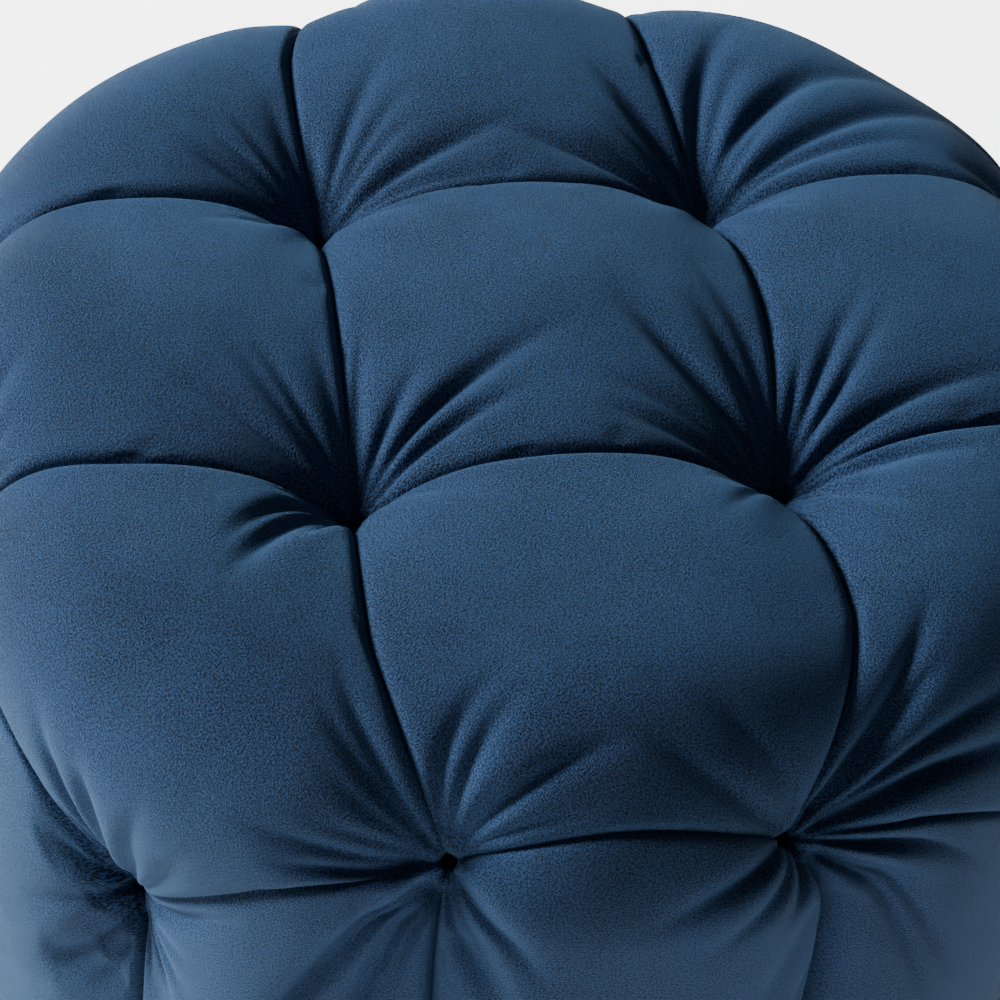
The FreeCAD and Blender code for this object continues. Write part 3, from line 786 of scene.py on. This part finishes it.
def spread_weights(coarse: int, fine: int) -> Array:
    """The share of each coarse point in each fine one along a Catmull-Rom curve, one row a fine point."""
    place = np.linspace(0.0, coarse - 1.0, fine)
    base = np.clip(np.floor(place).astype(int), 0, coarse - 2)
    t = place - base
    parts = (-t + 2 * t**2 - t**3, 2 - 5 * t**2 + 3 * t**3, t + 4 * t**2 - 3 * t**3, t**3 - t**2)
    table = np.zeros((fine, coarse))
    for step, part in enumerate(parts):
        np.add.at(table, (np.arange(fine), np.clip(base + step - 1, 0, coarse - 1)), part / 2)
    return table


def resampled(grid: Array, rows: int, columns: int) -> Array:
    """Spreads a coarse grid of vectors over a finer one by Catmull-Rom curves, rows then columns."""
    down, across = spread_weights(grid.shape[0], rows), spread_weights(grid.shape[1], columns)
    return np.einsum("ri,cj,ijk->rck", down, across, grid)


@dataclass
class Inflation:
    """Cloth simulation of the cover: the pleats are held, and the loose velvet between them fills.

    It runs on a coarse copy. What it moves each point by is kept, and is spread over the fine cover.
    """

    divisions: int = 40
    frames: int = 16
    pressure: float = 4.0
    spare: float = 0.002
    cap: float = 0.0035

    def moves(self) -> list[Array]:
        """Runs the simulation and returns each lobe's grid of moves, in the lobes' order."""
        cover = Cover(form=Form(divisions=self.divisions))
        work, grids = Patchwork(), []
        for lobe in cover.lobes():
            grids.append(cover.form.settle(lobe.spots, cover.form.sinking(lobe), lobe.panel))
            work.add(grids[-1], grids[-1][..., :2], turned=lobe.panel is Panel.SIDE)
        mesh = work.mesh("loose_velvet")
        cloth = placed("loose_velvet", mesh)
        held = cloth.vertex_groups.new(name="held")
        joined = work.joined
        edges = np.unique(np.concatenate([joined[index] for index in work.edges()]))
        held.add([int(index) for index in edges], 1.0, "REPLACE")
        self._cloth(cloth)
        scene = bpy.context.scene
        for step in range(1, self.frames + 1):
            scene.frame_set(step)
        moved = np.empty(len(mesh.vertices) * 3)
        shown = cloth.evaluated_get(bpy.context.evaluated_depsgraph_get())
        shown.data.vertices.foreach_get("co", moved)
        moved = moved.reshape(-1, 3)
        scene.frame_set(1)
        bpy.data.objects.remove(cloth)
        result, begun = [], 0
        for grid in grids:
            count = grid.shape[0] * grid.shape[1]
            move = moved[joined[begun:begun + count]].reshape(grid.shape) - grid
            size = np.linalg.norm(move, axis=-1, keepdims=True)
            result.append(move * (self.cap * np.tanh(size / self.cap) / np.maximum(size, 1e-9)))
            begun += count
        return result

    def _cloth(self, piece: bpy.types.Object) -> None:
        """Adds the cloth: no gravity, pressure from inside, and more cloth than the form needs."""
        modifier = piece.modifiers.new("cloth", "CLOTH")
        modifier.point_cache.frame_end = self.frames
        settings = modifier.settings
        settings.quality = 6
        settings.mass = 0.25
        settings.tension_stiffness = settings.compression_stiffness = 18.0
        settings.shear_stiffness = 6.0
        settings.bending_stiffness = 2.0
        settings.use_pressure = True
        settings.uniform_pressure_force = self.pressure
        settings.shrink_min = -self.spare
        settings.vertex_group_mass = "held"
        settings.effector_weights.gravity = 0.0


def placed(name: str, made: bpy.types.Mesh) -> bpy.types.Object:
    """An object at the origin that shows a mesh."""
    piece = bpy.data.objects.new(name, made)
    bpy.context.scene.collection.objects.link(piece)
    return piece


Colour = tuple[float, float, float]
Socket = bpy.types.NodeSocket
VECTOR, FLOAT = "NodeSocketVector", "NodeSocketFloat"
WHITE = (1.0, 1.0, 1.0, 1.0)


@dataclass
class NodeBoard:
    """A node tree, with short calls for adding nodes and wiring them."""

    tree: bpy.types.NodeTree

    def feed(self, node: bpy.types.Node, inputs: dict) -> None:
        """Gives a node's inputs, by name or number, plain values or other nodes' output sockets."""
        for key, value in inputs.items():
            if isinstance(value, Socket):
                self.tree.links.new(value, node.inputs[key])
            else:
                node.inputs[key].default_value = value

    def add(self, kind: str, inputs: dict | None = None, **settings: object) -> bpy.types.Node:
        """Adds a node.

        Args:
            kind: The node's type, without its ShaderNode prefix.
            inputs: What to feed the node's inputs.
            settings: The node's own settings.

        Returns:
            The new node.
        """
        node = self.tree.nodes.new("ShaderNode" + kind)
        for key, value in settings.items():
            setattr(node, key, value)
        self.feed(node, inputs or {})
        return node

    def noise(self, vector: Socket, scale: float = 1.0, detail: float = 3.0) -> Socket:
        """A soft noise from 0 to 1."""
        return self.add("TexNoise", {"Vector": vector, "Scale": scale, "Detail": detail}).outputs[0]

    def scaled(self, vector: Socket, scale: Socket) -> Socket:
        """A pattern's coordinates, scaled evenly."""
        return self.add("VectorMath", {0: vector, 3: scale}, operation="SCALE").outputs[0]

    def stretched(self, vector: Socket, scale: tuple[float, float, float], turn: float = 0.0) -> Socket:
        """A pattern's coordinates, turned about Z by an angle in degrees and then scaled."""
        spin = (0.0, 0.0, math.radians(turn))
        turned = self.add("Mapping", {"Vector": vector, "Rotation": spin}).outputs[0]
        return self.add("Mapping", {"Vector": turned, "Scale": scale}).outputs[0]

    def math(self, operation: str, first: object, second: object) -> Socket:
        """One sum on two numbers."""
        return self.add("Math", {0: first, 1: second}, operation=operation).outputs[0]

    def blended(self, first: Socket, second: Socket, share: float) -> Socket:
        """A sum of two numbers, with the second's share given and the first's the rest."""
        rest = self.math("MULTIPLY", first, 1.0 - share)
        return self.math("ADD", rest, self.math("MULTIPLY", second, share))

    def ranged(self, value: Socket, low: float, high: float, start: float = 0.0, end: float = 1.0) -> Socket:
        """A number carried from one range to another, and held at its ends."""
        inputs = {"Value": value, "From Min": low, "From Max": high, "To Min": start, "To Max": end}
        return self.add("MapRange", inputs).outputs[0]

    def mixed(self, share: Socket, first: object, second: object) -> Socket:
        """A colour between two others, each a colour or a socket."""
        ends = [end if isinstance(end, Socket) else (*end, 1.0) for end in (first, second)]
        return self.add("Mix", {0: share, 6: ends[0], 7: ends[1]}, data_type="RGBA").outputs[2]

    def upward(self, vector: Socket) -> Socket:
        """The Z part of a vector."""
        return self.add("SeparateXYZ", {0: vector}).outputs[2]

    def seen(self, lighting: float, looked_at: float) -> Socket:
        """One strength as a light on other things, and another where the camera looks."""
        ray = self.add("LightPath").outputs["Is Camera Ray"]
        return self.ranged(ray, 0.0, 1.0, lighting, looked_at)


def new_group(name: str, takes: dict[str, str],
              gives: tuple[str, ...]) -> tuple[NodeBoard, dict[str, Socket], bpy.types.Node]:
    """Starts a shader node group.

    Args:
        name: What the effect is called.
        takes: Names and socket kinds of the inputs.
        gives: Names of the outputs, which are all plain numbers.

    Returns:
        The group's board, its input sockets by name, and the node to feed its outputs into.
    """
    tree = bpy.data.node_groups.new(name, "ShaderNodeTree")
    for socket, kind in takes.items():
        tree.interface.new_socket(socket, in_out="INPUT", socket_type=kind)
    for socket in gives:
        tree.interface.new_socket(socket, in_out="OUTPUT", socket_type=FLOAT)
    begin, end = tree.nodes.new("NodeGroupInput"), tree.nodes.new("NodeGroupOutput")
    return NodeBoard(tree), {key: begin.outputs[key] for key in takes}, end


class Effects:
    """Shader groups that several finishes share, each built once."""

    def __init__(self) -> None:
        """Starts with no group built."""
        self.built: dict[str, bpy.types.NodeTree] = {}

    def get(self, name: str) -> bpy.types.NodeTree:
        """The group of a name, built at its first use."""
        if name not in self.built:
            self.built[name] = getattr(self, name)()
        return self.built[name]

    def pile(self) -> bpy.types.NodeTree:
        """Cut pile: a fine grain that runs two ways across the cloth, and soft patches where it leans."""
        board, takes, gives = new_group(
            "pile", {"Cloth": VECTOR, "Body": VECTOR, "Grain": FLOAT}, ("Height", "Lean", "Fleck"))
        fine = board.scaled(takes["Cloth"], takes["Grain"])
        ways = [board.noise(board.stretched(fine, (0.62, 1.25, 1.0), turn), 1.0, 2.0)
                for turn in (45.0, -45.0)]
        height = board.math("MULTIPLY", board.math("ADD", *ways), 0.5)
        lean = board.blended(board.noise(takes["Body"], 17.0, 2.0), board.noise(takes["Body"], 90.0), 0.28)
        board.feed(gives, {
            "Height": height,
            "Lean": board.ranged(lean, 0.36, 0.64),
            "Fleck": board.ranged(height, 0.47, 0.53),
        })
        return board.tree

    def wood_grain(self) -> bpy.types.NodeTree:
        """Long fibres along one axis with slow rings between them, and fine pores."""
        board, takes, gives = new_group("wood_grain", {"Place": VECTOR, "Rings": FLOAT}, ("Ring", "Pore"))
        drift = board.noise(takes["Place"], 4.0, 2.0)
        shift = board.add("CombineXYZ", {0: drift, 1: drift}).outputs[0]
        moved = board.add("VectorMath", {0: takes["Place"], 1: shift}, operation="ADD").outputs[0]
        rings = board.scaled(moved, takes["Rings"])
        wave = board.add("TexWave", {"Vector": rings, "Scale": 1.0, "Distortion": 2.5, "Detail": 2.0})
        pore = board.noise(board.stretched(takes["Place"], (60.0, 900.0, 900.0)))
        board.feed(gives, {"Ring": wave.outputs[1], "Pore": board.ranged(pore, 0.45, 0.72)})
        return board.tree

    def mottle(self) -> bpy.types.NodeTree:
        """Uneven patches of two sizes, for foam, fibre, metal and moulded parts."""
        board, takes, gives = new_group("mottle", {"Place": VECTOR, "Size": FLOAT}, ("Patch", "Speck"))
        scaled = board.scaled(takes["Place"], takes["Size"])
        noises = {"Patch": board.noise(scaled), "Speck": board.noise(scaled, 14.0, 2.0)}
        board.feed(gives, {name: board.ranged(noise, 0.35, 0.65) for name, noise in noises.items()})
        return board.tree


EFFECTS = Effects()


class Coat(NodeBoard):
    """A material in the making: its nodes and its main shader."""

    def __init__(self, name: str) -> None:
        """Starts the material."""
        self.material = bpy.data.materials.new(name)
        self.material.use_nodes = True
        super().__init__(self.material.node_tree)
        self.shader = self.tree.nodes["Principled BSDF"]

    def place(self) -> Socket:
        """Where a point is in the object's own space, in metres."""
        return self.add("TexCoord").outputs["Object"]

    def effect(self, name: str, inputs: dict) -> bpy.types.bpy_prop_collection:
        """Places a shared effect with its own values, and returns its output sockets."""
        return self.add("Group", inputs, node_tree=EFFECTS.get(name)).outputs

    def finish(self, looks: dict, height: Socket, strength: float, depth: float) -> bpy.types.Material:
        """Gives the main shader its inputs and its bumps, and returns the material."""
        bump = self.add("Bump", {"Height": height, "Strength": strength, "Distance": depth})
        self.feed(self.shader, {**looks, "Normal": bump.outputs[0]})
        return self.material


@dataclass(frozen=True)
class Velvet:
    """Short cut pile: dark where it is seen end on, with a pale bloom where it turns away."""

    name: str
    deep: Colour = (0.0014, 0.0042, 0.0125)
    raised: Colour = (0.0310, 0.0760, 0.1800)
    bloom: Colour = (0.24, 0.50, 0.86)
    grain: float = 1900.0
    on_cloth: bool = True

    def material(self) -> bpy.types.Material:
        """Builds the material."""
        coat = Coat(self.name)
        place = coat.place()
        cloth = coat.add("UVMap", uv_map="cloth").outputs[0] if self.on_cloth else place
        pile = coat.effect("pile", {"Cloth": cloth, "Body": place, "Grain": self.grain})
        looks = {
            "Base Color": coat.mixed(coat.blended(pile["Lean"], pile["Fleck"], 0.80), self.deep, self.raised),
            "Roughness": coat.ranged(pile["Fleck"], 0.0, 1.0, 0.66, 0.86),
            "Sheen Weight": 0.36,
            "Sheen Roughness": 0.38,
            "Sheen Tint": (*self.bloom, 1.0),
            "Specular IOR Level": 0.12,
        }
        return coat.finish(looks, pile["Height"], 0.85, 0.0015)


@dataclass(frozen=True)
class Timber:
    """Sawn or pressed wood, with grain along X."""

    name: str
    early: Colour
    late: Colour
    rings: float = 60.0
    roughness: float = 0.68
    plies: float = 0.0

    def material(self) -> bpy.types.Material:
        """Builds the material. Plies are the bands on a board's edge, at one pitch in height."""
        coat = Coat(self.name)
        place = coat.place()
        grain = coat.effect("wood_grain", {"Place": place, "Rings": self.rings})
        dark = tuple(0.45 * part for part in self.late)
        colour = coat.mixed(grain["Ring"], self.early, self.late)
        colour = coat.mixed(coat.math("MULTIPLY", grain["Pore"], 0.5), colour, dark)
        if self.plies:
            edge = coat.ranged(coat.math("PINGPONG", coat.upward(place), self.plies), 0.0, self.plies)
            facing = coat.upward(coat.add("NewGeometry").outputs["Normal"])
            upright = coat.math("SUBTRACT", 1.0, coat.math("ABSOLUTE", facing, 0.0))
            share = coat.math("MULTIPLY", coat.ranged(edge, 0.45, 0.55, 0.0, 0.6), upright)
            colour = coat.mixed(share, colour, dark)
        return coat.finish({"Base Color": colour, "Roughness": self.roughness}, grain["Pore"], 0.35, 0.0003)


@dataclass(frozen=True)
class Mottled:
    """A finish of two close colours in patches, with a fine grain: foam, fibre, metal or plastic."""

    name: str
    first: Colour
    second: Colour
    size: float = 60.0
    roughness: float = 0.6
    metallic: float = 0.0
    bump: float = 0.0003

    def material(self) -> bpy.types.Material:
        """Builds the material."""
        coat = Coat(self.name)
        mottle = coat.effect("mottle", {"Place": coat.place(), "Size": self.size})
        speck = mottle["Speck"]
        looks = {
            "Base Color": coat.mixed(coat.blended(mottle["Patch"], speck, 0.4), self.first, self.second),
            "Roughness": coat.ranged(speck, 0.0, 1.0, self.roughness - 0.08, self.roughness + 0.08),
            "Metallic": self.metallic,
        }
        return coat.finish(looks, speck, 0.5, self.bump)


@dataclass(frozen=True)
class Nonwoven:
    """Thin bonded dust cloth, pressed all over with a small diamond pattern."""

    name: str = "dust_cloth_black"
    dark: Colour = (0.010, 0.010, 0.011)
    light: Colour = (0.030, 0.030, 0.032)
    pitch: float = 0.0022

    def material(self) -> bpy.types.Material:
        """Builds the material: a point is pressed where two crossing waves are both high."""
        coat = Coat(self.name)
        place = coat.place()
        across = coat.add("SeparateXYZ", {0: coat.stretched(place, (1.0 / self.pitch,) * 3, 45.0)}).outputs
        waves = [coat.math("PINGPONG", across[axis], 0.5) for axis in (0, 1)]
        point = coat.ranged(coat.math("ADD", *waves), 0.72, 0.86)
        fibre = coat.noise(coat.stretched(place, (900.0, 260.0, 900.0)), 1.0, 4.0)
        height = coat.math("SUBTRACT", coat.math("MULTIPLY", fibre, 0.5), point)
        looks = {
            "Base Color": coat.mixed(fibre, self.dark, self.light),
            "Roughness": coat.ranged(point, 0.0, 1.0, 0.85, 0.55),
        }
        return coat.finish(looks, height, 0.6, 0.0002)


class Hardware:
    """The finishes of the frame and fixings, by CAD node."""

    def finishes(self) -> dict[str, object]:
        """Each node's finish."""
        steel = Mottled("zinc_plated_steel", (0.42, 0.43, 0.45), (0.60, 0.61, 0.62), 500.0, 0.36, 1.0, 5e-5)
        staple = Mottled("galvanised_wire", (0.36, 0.37, 0.38), (0.52, 0.53, 0.54), 900.0, 0.42, 1.0, 5e-5)
        shell = Mottled("tinned_button_shell", (0.45, 0.46, 0.48), (0.66, 0.66, 0.67), 700.0, 0.3, 1.0)
        back = Mottled("pressed_button_back", (0.30, 0.30, 0.32), (0.50, 0.50, 0.51), 700.0, 0.4, 1.0)
        ply = Timber("birch_plywood", (0.60, 0.44, 0.27), (0.47, 0.31, 0.17), 24.0, 0.66, 0.0015)
        return {
            "button_covers": Velvet("button_velvet_navy", on_cloth=False),
            "button_shells": shell,
            "button_backs": back,
            "tufting_twine": Mottled("waxed_twine", (0.55, 0.47, 0.33), (0.74, 0.66, 0.50), 1600.0, 0.7),
            "twine_toggles": Timber("beech_toggle", (0.58, 0.40, 0.24), (0.44, 0.28, 0.15), 160.0, 0.6),
            "frame_posts": Timber("sawn_pine", (0.74, 0.56, 0.33), (0.56, 0.35, 0.16), 90.0, 0.74),
            "side_hoop": Mottled("pressed_hardboard", (0.20, 0.115, 0.055), (0.30, 0.18, 0.09), 260.0, 0.6),
            "glides": Mottled("moulded_glide", (0.012, 0.012, 0.013), (0.030, 0.030, 0.031), 240.0, 0.42),
            "dust_cover": Nonwoven(),
            **dict.fromkeys(("top_board", "base_board"), ply),
            **dict.fromkeys(("top_board_screws", "base_board_screws", "glide_screws"), steel),
            **dict.fromkeys(("hoop_staples", "cover_staples", "dust_cover_staples"), staple),
        }

    def dress(self) -> None:
        """Gives each CAD node its material."""
        made: dict[object, bpy.types.Material] = {}
        for node, finish in self.finishes().items():
            if finish not in made:
                made[finish] = finish.material()
            mesh = bpy.data.objects[node].data
            mesh.materials.clear()
            mesh.materials.append(made[finish])
            LOG.info("dressed %s", node)


@dataclass(frozen=True)
class Layer:
    """One soft layer: its piece, the node it stands for, how deep it lies and what it is made of."""

    name: str
    node: str
    slot: str
    panels: tuple[Panel, ...]
    below: float
    thickness: float
    lowest: float
    fill: float
    finish: Mottled


@dataclass
class Filling:
    """The soft layers under the velvet: a wrap of fibre, a pad of foam on top and a band round it.

    Each follows the cover's own lobes, an even step below them, with a hole round every tuft.
    """

    divisions: int = 24
    wrap_below: float = 0.0028
    wrap_thick: float = 0.0062
    wrap_drop: float = 0.012
    foam_below: float = 0.0104
    foam_thick: float = 0.030
    hole: float = 0.0125
    fold_room: float = 0.0200
    hem_room: float = 0.0065
    hem_rises: tuple[float, float] = (-0.130, -0.020)
    fold_reach: float = 0.200
    gap: float = 0.0008

    def __post_init__(self) -> None:
        """Lays out the lobes that the layers follow."""
        self.cover = Cover(form=Form(divisions=self.divisions))

    def layers(self) -> list[Layer]:
        """The three layers, from the outside in."""
        fibre = Mottled("polyester_fibre_white", (0.72, 0.72, 0.70), (0.88, 0.88, 0.87), 140.0, 0.9,
                        bump=0.0012)
        seat = Mottled("seat_foam_cream", (0.70, 0.60, 0.38), (0.82, 0.73, 0.50), 420.0, 0.9, bump=0.0008)
        side = Mottled("side_foam_grey", (0.34, 0.35, 0.37), (0.46, 0.47, 0.49), 420.0, 0.9, bump=0.0008)
        board, base = (float(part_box(node)[1][2]) for node in ("top_board", "base_board"))
        return [
            Layer("fibre_wrap_batting", "fibre_wrap", "polyester_fibre", (Panel.TOP, Panel.SIDE),
                  self.wrap_below, self.wrap_thick, base - self.wrap_drop, 0.6, fibre),
            Layer("top_foam_block", "top_foam_pad", "seat_foam", (Panel.TOP,),
                  self.foam_below, self.foam_thick, board + self.gap, 0.9, seat),
            Layer("side_foam_roll", "side_foam_band", "side_foam", (Panel.SIDE,),
                  self.foam_below, self.foam_thick, base + self.gap, 0.9, side),
        ]

    def room(self, lobe: Lobe) -> Array:
        """How much further down a layer lies in a lobe, to leave room for the velvet's folds."""
        near = [smooth(0.0, 1.0, 1 - np.hypot(*lobe.reaches(corner)) / self.fold_reach)
                for corner in range(len(lobe.tufts))]
        room = self.fold_room * np.max(near, axis=0)
        if lobe.panel is Panel.SIDE:
            past = lobe.spots[..., 0] - self.cover.form.outline.hem_start()
            room = np.maximum(room, self.hem_room * smooth(*self.hem_rises, past))
        return room

    def skin(self, layer: Layer) -> bpy.types.Object:
        """A layer's outer skin: its lobes at a step below the cover, open round each tuft."""
        form, work = self.cover.form, Patchwork()
        for lobe in self.cover.lobes():
            if lobe.panel in layer.panels:
                sunk = form.sinking(lobe) + layer.below + self.room(lobe)
                points = form.settle(lobe.spots, sunk, lobe.panel, pits=False)
                points[..., 2] = np.maximum(points[..., 2], layer.lowest)
                work.add(points, lobe.spots, turned=lobe.panel is Panel.SIDE)
        piece = placed(layer.name, work.mesh(layer.name))
        board = bmesh.new()
        board.from_mesh(piece.data)
        mouths = [Vector(tuft.mouth) - Vector(tuft.axis) * tuft.throat
                  for column in form.tufts for tuft in column]
        inside = [corner for corner in board.verts
                  if min((corner.co - mouth).length for mouth in mouths) < self.hole]
        bmesh.ops.delete(board, geom=inside, context="VERTS")
        board.to_mesh(piece.data)
        board.free()
        return piece

    def build(self) -> None:
        """Builds the layers and puts them in their nodes' places."""
        for layer in self.layers():
            piece = self.skin(layer)
            wall = piece.modifiers.new("thickness", "SOLIDIFY")
            wall.thickness = layer.thickness
            wall.offset = -1.0
            piece.data.materials.append(layer.finish.material())
            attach(piece, "root")
            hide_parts(layer.node)
            LOG.info("filled %s", piece.name)


@dataclass
class Stage:
    """A pale floor, soft light and the camera."""

    target: tuple[float, float, float] = (-0.0203, -0.0609, 0.338)
    azimuth: float = math.radians(-10.8)
    elevation: float = math.radians(45.1)
    roll: float = math.radians(4.9)
    distance: float = 0.992
    lens: float = 108.0
    floor_reach: float = 6.0
    floor_glow: float = 1.25
    floor_seen: float = 4.0
    surround_glow: float = 0.10
    surround_seen: float = 4.4

    def build(self) -> None:
        """Adds the floor, the lights and the camera."""
        self.floor()
        self.light("key", (-1.80, 0.70, 1.30), 0.7, 121.0)
        self.light("front", (-0.9, -1.9, 0.9), 1.2, 2.0)
        self.world()
        self.camera()

    def floor(self) -> None:
        """A wide pale floor at Z = 0."""
        made = bpy.data.meshes.new("floor")
        reach = self.floor_reach
        made.from_pydata([(-reach, -reach, 0), (reach, -reach, 0), (reach, reach, 0), (-reach, reach, 0)],
                         [], [(0, 1, 2, 3)])
        coat = Coat("pale_floor")
        coat.feed(coat.shader, {
            "Base Color": (0.93, 0.93, 0.93, 1.0),
            "Roughness": 0.9,
            "Emission Color": WHITE,
            "Emission Strength": coat.seen(self.floor_glow, self.floor_seen),
        })
        made.materials.append(coat.material)
        placed("floor", made)

    def light(self, name: str, place: tuple[float, float, float], size: float, power: float) -> None:
        """A square soft light that faces the cushion."""
        lamp = bpy.data.lights.new(name, "AREA")
        lamp.size = size
        lamp.energy = power
        shown = bpy.data.objects.new(name, lamp)
        heading = Vector((0.0, 0.0, 0.3)) - Vector(place)
        shown.matrix_world = Matrix.Translation(place) @ heading.to_track_quat("-Z", "Y").to_matrix().to_4x4()
        bpy.context.scene.collection.objects.link(shown)

    def world(self) -> None:
        """An even white surround, pale where it is looked at and dim as a light."""
        world = bpy.data.worlds.new("surround")
        world.use_nodes = True
        board = NodeBoard(world.node_tree)
        strength = board.seen(self.surround_glow, self.surround_seen)
        board.feed(world.node_tree.nodes["Background"], {"Color": WHITE, "Strength": strength})
        bpy.context.scene.world = world

    def camera(self) -> None:
        """The camera, turned by its azimuth and elevation round the target and then by its roll."""
        lens = bpy.data.cameras.new("camera")
        lens.lens = self.lens
        lens.sensor_width = 36.0
        camera = bpy.data.objects.new("camera", lens)
        back = Vector((math.sin(self.azimuth) * math.cos(self.elevation),
                       -math.cos(self.azimuth) * math.cos(self.elevation), math.sin(self.elevation)))
        right = (-back).cross(Vector((0.0, 0.0, 1.0))).normalized()
        up = right.cross(-back)
        level = right * math.cos(self.roll) + up * math.sin(self.roll)
        upright = up * math.cos(self.roll) - right * math.sin(self.roll)
        turn = Matrix((level, upright, back)).transposed().to_4x4()
        camera.matrix_world = Matrix.Translation(Vector(self.target) + back * self.distance) @ turn
        bpy.context.scene.collection.objects.link(camera)
        bpy.context.scene.camera = camera


def main() -> None:
    """Builds the cushion piece by piece, then its stage."""
    logging.basicConfig(level=logging.INFO, format="%(message)s")
    moves = Inflation().moves()
    piece = Cover().build(moves)
    piece.data.materials.append(Velvet("navy_velvet").material())
    LOG.info("cover %d vertices", len(piece.data.vertices))
    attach(piece, "root")
    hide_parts("velvet_cover")
    Filling().build()
    Hardware().dress()
    Stage().build()


if __name__ == "__main__":
    main()
